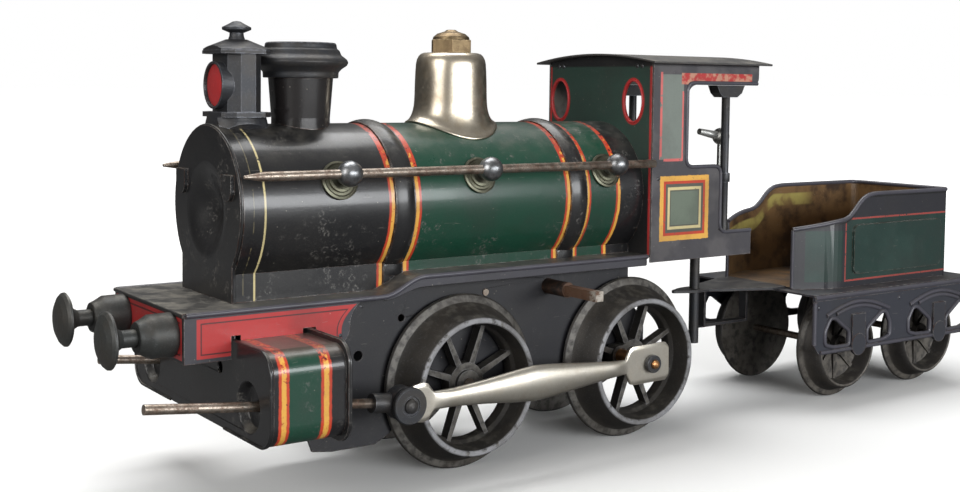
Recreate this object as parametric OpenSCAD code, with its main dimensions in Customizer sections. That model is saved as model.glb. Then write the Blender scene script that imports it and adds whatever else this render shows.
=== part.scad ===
// Tinplate clockwork locomotive on four wheels, with a four-wheeled tender.
// Units are millimetres. +X points rearwards to the tender, +Z up, -Y is the loco's left side.
// Origin: rail-top level, on the centreline, midway between the two locomotive axles.

/* [Running gear] */
// distance between the two locomotive axles
wheelbase = 75; // [70:0.5:80]
// height of the locomotive axles above the rail top
axle_z = 25.5; // [24:0.5:27]
// radius of the locomotive wheel flanges
flange_r = 30; // [28:0.5:30.5]
// radius of the crank throw
crank_r = 7; // [5:0.5:8]
// angle of the left crank at rest
crank_angle = 163; // [150:1:180]
// distance of the connecting rods from the centreline
rod_y = 42.1; // [41.9:0.1:44]

/* [Footplate and frames] */
// sheet thickness of the tinplate
sheet = 0.8; // [0.6:0.1:0.9]
// half width of the footplate
half_w = 29.1; // [28:0.1:30]
// top of the low front deck
deck_z = 58.9; // [58:0.1:60]
// top of the raised running board
run_z = 64.3; // [63:0.1:66]
// front end of the footplate
front_x = -139.5; // [-142:0.5:-137]
// half distance between the outer faces of the two frame plates
frame_y = 20; // [19.5:0.1:20.2]

/* [Boiler] */
// outside radius of the boiler
boiler_r = 26.5; // [26:0.1:26.8]
// height of the boiler centreline
boiler_z = 86.6; // [86:0.1:87]
// position of the smokebox front
smoke_x = -119.5; // [-121:0.5:-118]
// position of the cab front wall
cab_x = 40.9; // [40:0.1:43]

/* [Cab] */
// half width over the cab sides
cab_w = 30.9; // [30.9:0.1:31.4]
// crown height of the cab roof
roof_z = 139; // [137:0.5:141]
// half width of the cab roof
roof_w = 35.1; // [33:0.1:36]
// rear end of the cab floor
cab_end = 93.8; // [92:0.1:93.8]

/* [Cylinders] */
// half width over the two cylinders
cyl_w = 54; // [50:0.5:56]
// distance of the piston rods from the centreline
piston_y = 38.6; // [38:0.1:38.8]
// radius of the piston rods
piston_r = 1.5; // [1.3:0.1:1.6]
// slope of the piston rods in degrees
slope = 6.2; // [4:0.1:6.4]

/* [Clockwork] */
// module of the gear teeth
gear_m = 0.8; // [0.8:0.1:0.8]
// teeth on the great wheel
great_n = 60; // [60:1:60]
// teeth on the middle pinion
small_n = 12; // [12:1:12]
// teeth on the middle wheel
middle_n = 40; // [40:1:40]
// teeth on the drive pinion
drive_n = 15; // [15:1:15]
// turns of the mainspring
spring_turns = 7; // [5:1:8]

/* [Tender] */
// height of the tender axles
tender_z = 17.9; // [17:0.1:19]
// position of the tender front axle
tender_x1 = 155; // [153:0.5:157]
// position of the tender rear axle
tender_x2 = 210; // [208:0.5:212]
// half width over the tender side frames
tender_w = 35; // [34:0.1:36]
// height of the tender platform
plat_z = 42.5; // [41:0.1:44]
// position of the draw pin
pin_x = 94.3; // [94.3:0.1:96]

/* [Hidden] */
$fn = 64;
eps = 0.02;
run = 0.05;
front_ax = -wheelbase / 2;
rear_ax = wheelbase / 2;
axle_r = 2;
ogee_x1 = -72;
ogee_x2 = -57;
deck_under = deck_z - sheet;
run_under = run_z - sheet;
wheel_in = 20.9;
hub_out = 27;
crank_out = 26.6;
cheek_y = rod_y - 0.3;
rod_t = 1.1;
skirt_y = 18.5;
front_r = 25.7;
front_z = 87.1;
boiler_t = 0.6;
rail_y = 31.9;
rail_z = 98.4;
rail_r = 1.5;
roof_R = 194;
cyl_x1 = -123.6;
cyl_x2 = -99.4;
cyl_top = 50;
cyl_bot = 21.3;
cross_x = -71.5;
cross_z = 26.1;
arbor = [1.5, 54.8];
arbor_r = 2.7;
pressure = 25;
platform_x1 = 127.5;
platform_x2 = 237;
pin_r = 2.05;
lug_w = 5;
buffer_y = 19.85;
buffer_z = 51.7;

// crank pin of a side, and the place of its crosshead on the sloping rod line
function crank_at(a) = [rear_ax + crank_r * cos(a), axle_z + crank_r * sin(a)];
left_pin = crank_at(crank_angle);
right_pin = crank_at(crank_angle + 180);
rod_len = norm(left_pin - [cross_x, cross_z]);
along = [cos(slope), -sin(slope)];
function slide_u(p) = let (d = p - [cross_x, cross_z], s = d * along, q = d[0] * along[1] - d[1] * along[0])
    s - sqrt(rod_len * rod_len - q * q);
right_u = slide_u(right_pin);
right_cross = [cross_x, cross_z] + right_u * along;

// middle wheel centre: meshes with the great wheel and with the drive pinion
reach_a = gear_m * (great_n + small_n) / 2;
reach_b = gear_m * (middle_n + drive_n) / 2;
drive_c = [rear_ax, axle_z];
span_ad = norm(drive_c - arbor);
dir_ad = (drive_c - arbor) / span_ad;
foot_ad = (reach_a * reach_a - reach_b * reach_b + span_ad * span_ad) / (2 * span_ad);
rise_ad = sqrt(reach_a * reach_a - foot_ad * foot_ad);
middle = arbor + foot_ad * dir_ad - rise_ad * [dir_ad[1], -dir_ad[0]];
ang_am = atan2(middle[1] - arbor[1], middle[0] - arbor[0]);
ang_md = atan2(drive_c[1] - middle[1], drive_c[0] - middle[0]);
pillars = [[-88, 46], [-84, 15], [8, 24.5], [45.2, 33.5], [arbor[0] - 27.5, arbor[1]]];

// ---- helpers -------------------------------------------------------------

// child drawn on the left side, and again mirrored to the right
module both() {
    children();
    mirror([0, 1, 0]) children();
}

// 2D drawing in the XZ plane made into a plate from y0 to y1
module plate_xz(y0, y1) {
    translate([0, max(y0, y1), 0])
        rotate([90, 0, 0])
            linear_extrude(abs(y1 - y0)) children();
}

// 2D drawing in the YZ plane made into a plate from x0 to x1
module plate_yz(x0, x1) {
    translate([x0, 0, 0])
        rotate([90, 0, 90])
            linear_extrude(x1 - x0) children();
}

// round bar along Y
module bar_y(x, z, r, y0, y1) {
    translate([x, max(y0, y1), z])
        rotate([90, 0, 0]) cylinder(r = r, h = abs(y1 - y0));
}

// round bar along X
module bar_x(y, z, r, x0, x1) {
    translate([x0, y, z])
        rotate([0, 90, 0]) cylinder(r = r, h = x1 - x0);
}

// rectangle with all four corners rounded
module round_rect(x0, z0, x1, z1, r) {
    translate([x0 + r, z0]) square([x1 - x0 - 2 * r, z1 - z0]);
    translate([x0, z0 + r]) square([x1 - x0, z1 - z0 - 2 * r]);
    for (x = [x0 + r, x1 - r], z = [z0 + r, z1 - r])
        translate([x, z]) circle(r = r, $fn = 32);
}

// points of an arc
function arc(cx, cy, r, a0, a1, n = 12) =
    [for (i = [0:n]) [cx + r * cos(a0 + (a1 - a0) * i / n), cy + r * sin(a0 + (a1 - a0) * i / n)]];

// top line of the footplate at the curved step
function step_z(t, lo, hi) = lo + (hi - lo) * (3 * t * t - 2 * t * t * t);
function step_line(lo, hi, n = 10) =
    [for (i = [0:n]) [ogee_x1 + (ogee_x2 - ogee_x1) * i / n, step_z(i / n, lo, hi)]];

// the same points in the opposite order
function back(e) = [for (i = [len(e) - 1:-1:0]) e[i]];

// involute gear drawn with one tooth centred on angle 0
function inv_pt(rb, t) = [rb * (cos(t) + t * PI / 180 * sin(t)), rb * (sin(t) - t * PI / 180 * cos(t))];
function turn(p, a) = [p[0] * cos(a) - p[1] * sin(a), p[0] * sin(a) + p[1] * cos(a)];
function roll(rb, r) = r <= rb ? 0 : sqrt(r * r / (rb * rb) - 1) * 180 / PI;
module gear(n, backlash = 0.16) {
    rp = gear_m * n / 2;
    rb = rp * cos(pressure);
    ra = rp + 0.9 * gear_m;
    rr = rp - 1.2 * gear_m;
    rs = max(rb, rr);
    inv_a = (tan(pressure) - pressure * PI / 180) * 180 / PI;
    half = 90 / n - backlash / rp * 90 / PI + inv_a;
    flank = [for (i = [0:4]) let (r = rs + (ra - rs) * i / 4) turn(inv_pt(rb, roll(rb, r)), -half)];
    foot = rb > rr ? [turn([rr, 0], -half)] : [];
    side = concat(foot, flank);
    tooth = concat(side, [for (p = back(side)) [p[0], -p[1]]]);
    polygon([for (k = [0:n - 1], p = tooth) turn(p, 360 * k / n)]);
}

// ---- frame and footplate ---------------------------------------------------

module footplate_side() {
    polygon(concat(
        [[front_x, deck_under]], step_line(deck_under, run_under), [[cab_end, run_under], [cab_end, run_z]],
        back(step_line(deck_z, run_z)), [[front_x, deck_z]]
    ));
}

module footplate() {
    color("DimGray") {
        difference() {
            plate_xz(-side_y + eps, side_y - eps) footplate_side();
            both() translate([front_x - 1, half_w, 50]) cube([cab_x - front_x + 1, 3, 30]);
            translate([-26, -17.5, run_under - 1]) cube([56, 35, 4]);
        }
        both() {
            plate_xz(-half_w, -half_w + sheet) polygon(concat(
                [[ogee_x1, deck_under - 1.2]], step_line(deck_under - 1.2, run_z - 4),
                [[cab_x, run_z - 4], [cab_x, run_z - 0.4]],
                back(step_line(deck_z - 0.4, run_z - 0.4))
            ));
        }
        difference() {
            translate([81.5, -23.2, run_z - 0.3]) cube([8, sheet, 9.3]);
            bar_y(85.5, 69.5, 1.5 + run, -26, -20);
        }
        translate([cab_end - 1, -lug_w, run_under]) cube([pin_x + lug_w - cab_end + 1, 2 * lug_w, sheet]);
    }
}

module apron_side() {
    difference() {
        polygon(concat(
            [[front_x, 44], [-90.5, 44]], arc(-90.5, 50, 6, -90, 0, 8),
            arc(-76, 50.5, 8.5, 180, 118, 6), [[-72, deck_under - eps], [front_x, deck_under - eps]]
        ));
        translate([cyl_x1 - 1.1, 43]) square([3, cyl_top - 41.9]);
        translate([cyl_x2 - 1.6, 43]) square([4.4, cyl_top - 41.9]);
    }
}

module apron() {
    color("FireBrick") {
        both() plate_xz(-half_w, -half_w + sheet) apron_side();
        difference() {
            plate_yz(front_x, front_x + sheet)
                translate([-half_w + 0.1, 44]) square([2 * half_w - 0.2, deck_under - eps - 44]);
            for (s = [-1, 1]) bar_x(s * buffer_y, buffer_z, 2.6 + run, front_x - 1, front_x + 2);
        }
    }
}

module frame_shape() {
    difference() {
        polygon(concat(
            [[-97.1, 20], [-93, 9], [-86, 8], [-70, 8], [-64, 11], [-59, 20], [44, 20], [48, 23]],
            [[48, 38], [39.8, 47], [39.8, run_under - eps]],
            back(step_line(deck_under - eps, run_under - eps)),
            [[-97.1, deck_under - eps]]
        ));
        for (x = [front_ax, rear_ax]) translate([x, axle_z]) circle(r = axle_r + run);
        translate(arbor) circle(r = arbor_r + run);
        translate(middle) circle(r = 1.5 + run, $fn = 32);
        for (p = pillars) translate(p) circle(r = 1.2, $fn = 32);
        translate([-76.4, 38.1]) circle(r = 1.6, $fn = 32);
        translate([-60, 49]) circle(r = 1.2, $fn = 32);
    }
}

module frame_left() {
    color("SlateGray") plate_xz(-frame_y, -frame_y + 1) frame_shape();
}

module frame_right() {
    color("SlateGray") plate_xz(frame_y - 1, frame_y) frame_shape();
}

module frame_pillars() {
    color("Silver") for (p = pillars) {
        bar_y(p[0], p[1], 2, -frame_y + 1, frame_y - 1);
        bar_y(p[0], p[1], 1.19, -frame_y - 0.4, frame_y + 0.4);
    }
}

// ---- boiler and fittings -----------------------------------------------------

module arch(r, w, z0, zc = boiler_z) {
    translate([0, zc]) circle(r = r, $fn = 128);
    translate([-w, z0]) square([2 * w, zc - 10 - z0]);
}

module below_deck() {
    plate_xz(-40, 40) polygon(concat(
        [[-200, 0], [200, 0], [200, run_z + eps]],
        back(step_line(deck_z + eps, run_z + eps)), [[-200, deck_z + eps]]
    ));
}

module boiler_solid(grow = 0) {
    bar_x(0, boiler_z, boiler_r + grow, smoke_x - 2, cab_x + 2);
}

module boiler() {
    color("DarkGreen") difference() {
        union() {
            plate_yz(smoke_x + eps, cab_x - eps) arch(boiler_r, skirt_y, 50);
            for (x = [-66.5, 6.2]) plate_yz(x, x + 7.5) arch(boiler_r + 0.45, skirt_y + 0.45, 50);
        }
        plate_yz(smoke_x - 1, cab_x + 1) arch(boiler_r - boiler_t, skirt_y - boiler_t, 40);
        below_deck();
        translate([-87.4, 0, boiler_z]) cylinder(r = 8, h = 40);
        translate([-27.9, 0, boiler_z]) cylinder(r = 3.1, h = 40);
    }
}

// depth of the pressed smokebox door at a distance from its centre
function dish(r) = 5.5 * (0.5 + 0.5 * cos(180 * r / 15.4));

module smokebox_front() {
    color("DarkSlateGray") {
        difference() {
            plate_yz(smoke_x - 0.8, smoke_x) arch(front_r, 19.5, 50, front_z);
            below_deck();
            bar_x(0, front_z - 1, 15.6, smoke_x - 3, smoke_x + 3);
        }
        translate([smoke_x, 0, front_z - 1]) rotate([0, 90, 0]) rotate_extrude($fn = 96)
            polygon(concat(
                [[15.8, -0.8], [15.8, 0]], [for (i = [0:14]) let (r = 15.4 - 1.1 * i) [r, dish(r)]],
                [for (i = [14:-1:0]) let (r = 15.4 - 1.1 * i) [r, dish(r) - 0.8]]
            ));
        both() translate([smoke_x - 0.8, 0, 0]) rotate([90, 0, -90]) linear_extrude(1.3) {
            translate([14.5, 93.6]) square([7, 4.6]);
            translate([18, 93.6]) circle(r = 3.5, $fn = 32);
        }
    }
}

module chimney() {
    color("Black") difference() {
        translate([-87.2, 0, 0]) rotate_extrude($fn = 96)
            polygon([[8.9, 104], [9.6, 104], [9.6, 115], [10.6, 128], [9.9, 128], [8.9, 115]]);
        boiler_solid(eps);
    }
}

module chimney_cap() {
    color("DimGray") translate([-87.2, 0, 0]) rotate_extrude($fn = 96)
        polygon([
            [9.3, 128 + eps], [12.3, 128 + eps], [12.4, 130], [13.4, 131], [15.1, 132.2], [15.6, 133.2],
            [15.1, 134.2], [13.3, 135.6], [12.6, 137.2], [11.9, 137.6], [11.6, 139.2], [11.2, 139.6],
            [9.7, 139.6], [9.3, 138.5]
        ]);
}

lamp_x = -109.9;
module lamp_block(wx, wy, c, z0, z1) {
    translate([lamp_x, 0, z0]) linear_extrude(z1 - z0) polygon([
        [-wx + c, -wy], [wx - c, -wy], [wx, -wy + c], [wx, wy - c],
        [wx - c, wy], [-wx + c, wy], [-wx, wy - c], [-wx, -wy + c]
    ]);
}

module lamp() {
    color("SlateGray") difference() {
        union() {
            lamp_block(5.7, 9, 3.2, 116.8, 135.5);
            lamp_block(8.4, 11, 3.6, 115.4, 117);
            lamp_block(8.6, 10.6, 3.4, 135.3, 136.4);
            intersection() {
                lamp_block(8.4, 10.4, 3.4, 136.3, 142);
                translate([lamp_x, 0, 136.3]) cylinder(r1 = 12.4, r2 = 3.4, h = 3.6);
            }
            translate([lamp_x, 0, 139]) rotate_extrude($fn = 48) polygon([
                [0, 0], [3, 0], [2.3, 2], [2.2, 3], [4.6, 4], [4.6, 4.8], [2.6, 5.8], [1.2, 6.6], [0, 6.8]
            ]);
            bar_x(0, 125.4, 7.5, lamp_x - 8.1, lamp_x - 4);
            intersection() {
                lamp_block(8.4, 11, 3.6, 104, 115.5);
                translate([lamp_x, 0, 104]) cylinder(r1 = 12.5, r2 = 9.3, h = 11.5);
            }
        }
        boiler_solid(eps);
        bar_x(0, 125.4, 6.8, lamp_x - 9, lamp_x - 6.6);
        for (s = [-1, 1]) translate([lamp_x, s * 13.6, 107.4]) rotate([90, 0, 90])
            cylinder(r = 7, h = 30, center = true);
    }
}

module lamp_lens() {
    color("Crimson") translate([lamp_x - 6.6 - eps, 0, 125.4]) rotate([0, -90, 0])
        rotate_extrude($fn = 64) polygon([[0, 0], [6.7, 0], [6.7, 0.5], [5.3, 0.9], [3, 1.2], [0, 1.3]]);
}

dome_x = -27.9;
module dome() {
    color("Gainsboro") difference() {
        union() {
            translate([dome_x, 0, 0]) rotate_extrude($fn = 96) polygon(concat(
                [[13, 104], [13, 116]], arc(9.2, 134.4, 3.2, 0, 90, 10), [[3.1, 137.6], [3.1, 136.8]],
                arc(9.2, 134.4, 2.4, 90, 0, 10), [[12.2, 116], [12.2, 104]]
            ));
            intersection() {
                difference() {
                    boiler_solid(1);
                    boiler_solid(eps);
                }
                translate([dome_x, 0, 95]) difference() {
                    cylinder(r = 16.5, h = 40, $fn = 96);
                    translate([0, 0, -1]) cylinder(r = 12.2, h = 42, $fn = 96);
                }
            }
            intersection() {
                boiler_solid(2.6);
                translate([dome_x, 0, 95]) difference() {
                    cylinder(r = 14.2, h = 40, $fn = 96);
                    translate([0, 0, -1]) cylinder(r = 12.2, h = 42, $fn = 96);
                }
            }
        }
        boiler_solid(eps);
    }
}

module dome_bolt() {
    color("Peru") translate([dome_x, 0, 0]) {
        translate([0, 0, 137.6 + eps]) cylinder(r = 7.8, h = 4.6, $fn = 6);
        translate([0, 0, 142.2]) rotate_extrude($fn = 48)
            polygon([[0, -0.1], [6.6, -0.1], [6.4, 1], [5, 2.2], [2.4, 3], [1.6, 3.6], [0, 3.7]]);
        translate([0, 0, 107]) cylinder(r = 3, h = 31);
        translate([0, 0, 107]) cylinder(r = 6, h = 3, $fn = 6);
    }
}

module handrails() {
    color("Silver") for (s = [-1, 1]) translate([-122, s * rail_y, rail_z]) rotate([0, 90, 0])
        rotate_extrude($fn = 32)
            polygon([
                [0, 0], [0.5, 0], [1.3, 5], [rail_r, 6.5], [rail_r, cab_x + 122 - eps], [0, cab_x + 122 - eps]
            ]);
}

knob_x = [-86.4, -32.7, 23.1];
knob_a = atan2(rail_z - boiler_z, rail_y);
knob_d = norm([rail_y, rail_z - boiler_z]);

// a turned piece standing radially on the boiler at position x
module on_boiler(x) {
    translate([x, 0, boiler_z]) rotate([90 - knob_a, 0, 0]) children();
}

module rail_knobs() {
    color("Silver") both() for (x = knob_x) difference() {
        on_boiler(x) {
            translate([0, 0, knob_d]) sphere(r = 4.1, $fn = 48);
            translate([0, 0, boiler_r + 1.6]) cylinder(r = 1.5, h = knob_d - boiler_r - 3, $fn = 32);
        }
        bar_x(-rail_y, rail_z, rail_r + eps, x - 6, x + 6);
    }
}

module rail_rosettes() {
    color("DarkKhaki") both() for (x = knob_x) on_boiler(x)
        translate([0, 0, boiler_r + 0.04]) rotate_extrude($fn = 64)
            polygon([
                [0, 0], [6.3, 0], [6.3, 0.7], [5.6, 1], [5, 0.6], [4.2, 0.7], [4, 1.3], [3.2, 1.5], [0, 1.5]
            ]);
}

// ---- cab ---------------------------------------------------------------------

roof_c = roof_z - roof_R;
side_y = cab_w - sheet;

module under_roof() {
    intersection() {
        translate([0, roof_c]) circle(r = roof_R - sheet - eps, $fn = 720);
        translate([-60, 40]) square([120, 110]);
    }
}

module cab_front() {
    color("DarkGreen") plate_yz(cab_x, cab_x + sheet) difference() {
        intersection() {
            translate([-side_y + eps, run_z + eps]) square([2 * side_y - 2 * eps, 80]);
            under_roof();
        }
        for (y = [-19.8, 23.6]) translate([y, 121]) scale([4.8 / 7.4, 1]) circle(r = 7.4, $fn = 64);
    }
}

module cab_side_shape() {
    polygon(concat(
        [[cab_x, 61.6], [cab_end, 61.6], [cab_end, 71.6], [76, 71.6], [76, 97]],
        [[58.3, 97]], arc(63.3, 122.5, 5, 180, 90, 8),
        [[92, 127.5]], arc(93.5, 130.5, 3, -90, 0, 6), [[96.5, 145], [cab_x, 145]]
    ));
}

module cab_wall() {
    intersection() {
        plate_xz(-cab_w, -side_y) cab_side_shape();
        plate_yz(0, 200) under_roof();
    }
}

module cab_left() {
    color("DarkGreen") cab_wall();
}

module cab_right() {
    color("DarkGreen") mirror([0, 1, 0]) cab_wall();
}

module cab_roof() {
    color("DimGray") intersection() {
        plate_yz(37.4, 99.6) difference() {
            translate([0, roof_c]) circle(r = roof_R, $fn = 720);
            translate([0, roof_c]) circle(r = roof_R - sheet, $fn = 720);
        }
        translate([0, -roof_w, 120]) cube([120, 2 * roof_w, 30]);
    }
}

module cab_pillars() {
    color("LightSlateGray") both() {
        translate([82.6, -26.8, run_z + eps]) cylinder(r = 1.6, h = 60.5);
        translate([82.6, -26.8, 90]) cylinder(r = 2.2, h = 3.4);
        translate([82.6, -26.8, run_z + eps]) cylinder(r = 2.2, h = 1.6);
        plate_xz(-side_y + eps, -25) polygon([
            [74.5, 127.4], [89.5, 127.4], [88, 124.4], [85.5, 122.8], [78, 122.8], [76, 124.4]
        ]);
    }
}

module control_lever() {
    color("Gainsboro") {
        bar_y(85.5, 69.5, 1.5, -24.4, -20.4);
        bar_y(85.5, 69.5, 2.6, -22.36, -20.4);
        plate_xz(-22.3, -21.1) polygon([[83.8, 69.5], [87.2, 69.5], [86.8, 106], [84.2, 106]]);
        translate([85.5, -21.7, 107.4]) sphere(r = 3.4, $fn = 32);
        translate([85.5, -21.7, 107.4]) rotate([0, -80, 0]) cylinder(r1 = 1.8, r2 = 1.2, h = 12, $fn = 32);
    }
}

// ---- cylinders and rods --------------------------------------------------------

// plate outline across both cylinders
module cyl_outline(g) {
    round_rect(-cyl_w - g, cyl_bot - g, cyl_w + g, cyl_top + g, 7);
    translate([-28.2, cyl_top - 5]) square([56.4, deck_under - eps - cyl_top + 5]);
}

// bar along the sloping piston line of one side, between two distances from the crosshead
module on_slope(c, u0, u1, r) {
    translate([c[0], -piston_y, c[1]]) rotate([0, 90 + slope, 0])
        translate([0, 0, u0]) cylinder(r = r, h = u1 - u0, $fn = 48);
}

function slope_z(x) = cross_z + (cross_x - x) * tan(slope);

module cylinder_front() {
    color("DimGray") difference() {
        union() {
            difference() {
                plate_yz(cyl_x1, cyl_x1 + sheet) cyl_outline(0);
                for (s = [-1, 1]) {
                    bar_x(s * piston_y, slope_z(-122), 8.5, cyl_x1 - 1, cyl_x1 + 2);
                    bar_x(s * 18.2, 39.8, 1.8, cyl_x1 - 1, cyl_x1 + 2);
                }
            }
            both() translate([cyl_x1, -piston_y, slope_z(-122)]) rotate([0, 90, 0])
                rotate_extrude($fn = 64)
                    polygon([[8.9, 0], [8.9, 0.8], [8, 0.8], [6.8, 3.4], [0, 4.2], [0, 3.4], [6.2, 2.7], [7.7, 0]]);
        }
        both() on_slope([cross_x, cross_z], -60, -40, piston_r + 0.08);
    }
}

module cylinder_rear() {
    color("DimGray") difference() {
        plate_yz(cyl_x2, cyl_x2 + sheet) cyl_outline(0.9);
        both() on_slope([cross_x, cross_z], -40, -16, piston_r + 0.08);
        for (s = [-1, 1]) bar_x(s * 18.2, 39.8, 1.8, cyl_x2 - 1, cyl_x2 + 2);
    }
}

module cylinder_wrap() {
    difference() {
        plate_yz(cyl_x1 + sheet + eps, cyl_x2 - eps) difference() {
            round_rect(-cyl_w + 0.4, cyl_bot + 0.4, 0, cyl_top - 0.4, 6.6);
            round_rect(-cyl_w + 1.1, cyl_bot + 1.1, 8, cyl_top - 1.1, 5.9);
            translate([-half_w - eps, cyl_bot + 4]) square([40, 40]);
            translate([-21, 0]) square([40, 60]);
        }
    }
}

module cylinder_left() {
    color("SeaGreen") cylinder_wrap();
}

module cylinder_right() {
    color("SeaGreen") mirror([0, 1, 0]) cylinder_wrap();
}

module piston(c) {
    on_slope(c, -84.2, -7.5, piston_r);
}

module crosshead(c) {
    difference() {
        union() {
            on_slope(c, -10.8, 0, 3.1);
            bar_y(c[0], c[1], 5.4, -cheek_y, -37);
        }
        on_slope(c, -12, -7.4, piston_r + eps);
    }
}

module piston_left() {
    color("Silver") piston([cross_x, cross_z]);
}

module piston_right() {
    color("Silver") mirror([0, 1, 0]) piston(right_cross);
}

module crosshead_left() {
    color("DimGray") crosshead([cross_x, cross_z]);
}

module crosshead_right() {
    color("DimGray") mirror([0, 1, 0]) crosshead(right_cross);
}

// half profile of the connecting rod, then closed by its mirror image
function rod_edge() = [
    [-3.8, 5.2], [-1.5, 6.3], [6, 6.5], [7.6, 5.9], [9.8, 2.7], [18, 3], [30, 4], [42, 5.3],
    [50, 6], [56, 5.7], [70, 4.3], [84, 2.9], [90.5, 2.3], [92.7, 6.4], [94.2, 6.9], [109.4, 6.9], [110.8, 5.5]
];
function rib_edge() = [[14, 0.9], [32, 2.1], [50, 3.4], [70, 2], [86, 0.8]];
function closed(e) = concat(e, [for (p = back(e)) [p[0], -p[1]]]);

module con_rod(c, p) {
    tilt = atan2(p[1] - c[1], p[0] - c[0]);
    translate([c[0], 0, c[1]]) rotate([0, -tilt, 0]) difference() {
        union() {
            plate_xz(-rod_y - rod_t, -rod_y) polygon(closed(rod_edge()));
            plate_xz(-rod_y - rod_t - 0.7, -rod_y - rod_t + 0.1) polygon(closed(rib_edge()));
        }
        bar_y(0, 0, 1.62, -rod_y - 3, -rod_y + 3);
        bar_y(rod_len, 0, 1.6 + run, -rod_y - 3, -rod_y + 3);
    }
}

module rod_disc(c) {
    y0 = rod_y + rod_t + 0.03;
    translate([c[0], -y0, c[1]]) rotate([90, 0, 0]) rotate_extrude($fn = 64) polygon([
        [0, -1.1], [1.6, -1.1], [1.6, 0], [5.9, 0], [5.9, 1.4], [5.5, 1.8], [3.2, 1.8], [3, 1.4],
        [2.4, 1.4], [2.2, 2.2], [1.4, 2.8], [0, 3]
    ]);
}

module rod_left() {
    color("Gainsboro") con_rod([cross_x, cross_z], left_pin);
}

module rod_right() {
    color("Gainsboro") mirror([0, 1, 0]) con_rod(right_cross, right_pin);
}

module rod_disc_left() {
    color("DimGray") rod_disc([cross_x, cross_z]);
}

module rod_disc_right() {
    color("DimGray") mirror([0, 1, 0]) rod_disc(right_cross);
}

module crank_pin(p) {
    bar_y(p[0], p[1], 1.6, -23, -45.6);
    bar_y(p[0], p[1], 2.4, -crank_out - eps, -rod_y + 0.1);
    translate([p[0], -45.6, p[1]]) rotate([90, 0, 0]) rotate_extrude($fn = 32)
        polygon([[0, -0.1], [1.6, -0.1], [1.4, 0.5], [0.8, 0.9], [0, 1]]);
}

module crank_pins() {
    color("Goldenrod") {
        crank_pin(left_pin);
        mirror([0, 1, 0]) crank_pin(right_pin);
    }
}

module crank_collar(p) {
    difference() {
        bar_y(p[0], p[1], 3.2, -rod_y - rod_t - 0.06, -45.1);
        bar_y(p[0], p[1], 1.61, -40, -50);
    }
}

module crank_collars() {
    color("DimGray") {
        crank_collar(left_pin);
        mirror([0, 1, 0]) crank_collar(right_pin);
    }
}

// ---- wheels ----------------------------------------------------------------------

module axle(x) {
    bar_y(x, axle_z, axle_r, -27.6, 27.6);
}

module drive_axle() {
    color("Silver") axle(rear_ax);
}

module front_axle() {
    color("Silver") axle(front_ax);
}

// cast wheel standing on the XY plane, outer face up, height counted from the centreline
module wheel_casting() {
    rotate_extrude($fn = 128) polygon([
        [19.4, wheel_in], [flange_r - 0.6, wheel_in], [flange_r, 21.6], [flange_r - 0.5, 22.4], [27.2, 23.1],
        [26.5, 23.9], [23.7, 32], [23.2, 33.2], [22.9, 33.4], [21.8, 33.4], [21.4, 33], [20.6, 26], [19.6, 24.8]
    ]);
    for (i = [0:7]) rotate([0, 0, i * 45 + 25]) translate([0, 0, 21.6]) linear_extrude(3.9)
        polygon([[4, -1.2], [20.2, -0.8], [20.2, 0.8], [4, 1.2]]);
    translate([0, 0, wheel_in]) cylinder(r = 7, h = 4.8);
    translate([0, 0, wheel_in]) cylinder(r = 4.6, h = hub_out - wheel_in);
}

module loco_wheel(x) {
    translate([x, 0, axle_z]) rotate([90, 0, 0]) difference() {
        wheel_casting();
        translate([0, 0, 10]) cylinder(r = axle_r + eps, h = 30);
    }
}

module crank_wheel(a) {
    translate([rear_ax, 0, axle_z]) rotate([90, 0, 0]) difference() {
        union() {
            wheel_casting();
            rotate([0, 0, a]) translate([crank_r, 0, wheel_in + 1])
                cylinder(r = 3.6, h = crank_out - wheel_in - 1);
        }
        translate([0, 0, 10]) cylinder(r = axle_r + eps, h = 30);
        rotate([0, 0, a]) translate([crank_r, 0, 22.9]) cylinder(r = 1.6 + eps, h = 20);
    }
}

module drive_wheels() {
    color("DarkSlateGray") {
        crank_wheel(crank_angle);
        mirror([0, 1, 0]) crank_wheel(crank_angle + 180);
    }
}

module front_wheels() {
    color("DarkSlateGray") both() loco_wheel(front_ax);
}

// ---- clockwork ----------------------------------------------------------------------

function spiral(r, t) = [for (i = [0:spring_turns * 20])
    let (a = i * 18, q = r + (19.4 - 4) * i / (spring_turns * 20)) [(q + t) * cos(a), (q + t) * sin(a)]];

module mainspring() {
    color("SteelBlue") translate([arbor[0], 0, arbor[1]]) plate_xz(-2, 15) {
        difference() {
            circle(r = 4.5, $fn = 48);
            circle(r = arbor_r + run, $fn = 48);
        }
        rotate([0, 0, 180]) {
            polygon(concat(spiral(4, 0.6), back(spiral(4, 0))));
            translate([19.5, -0.6]) square([5.8, 0.6]);
            difference() {
                translate([27.5, 0]) circle(r = 2.7, $fn = 32);
                translate([27.5, 0]) circle(r = 2 + run, $fn = 32);
            }
        }
    }
}

module winding_arbor() {
    color("SaddleBrown") {
        bar_y(arbor[0], arbor[1], arbor_r, -31.6, frame_y + 0.8);
        translate([arbor[0], -31.5, arbor[1]]) rotate([90, 0, 0])
            translate([-1.7, -1.7, 0]) cube([3.4, 3.4, 17]);
    }
}

ratchet_y = [-5.3, -3.7];
ratchet_n = 12;
module ratchet_wheel() {
    color("Goldenrod") translate([arbor[0], 0, arbor[1]]) plate_xz(ratchet_y[0], ratchet_y[1]) difference() {
        polygon([for (k = [0:ratchet_n - 1], p = [[8, -0.01], [10, 0], [9.1, 15]])
            [p[0] * cos(30 * k + p[1]), p[0] * sin(30 * k + p[1])]]);
        circle(r = arbor_r + eps);
    }
}

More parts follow.
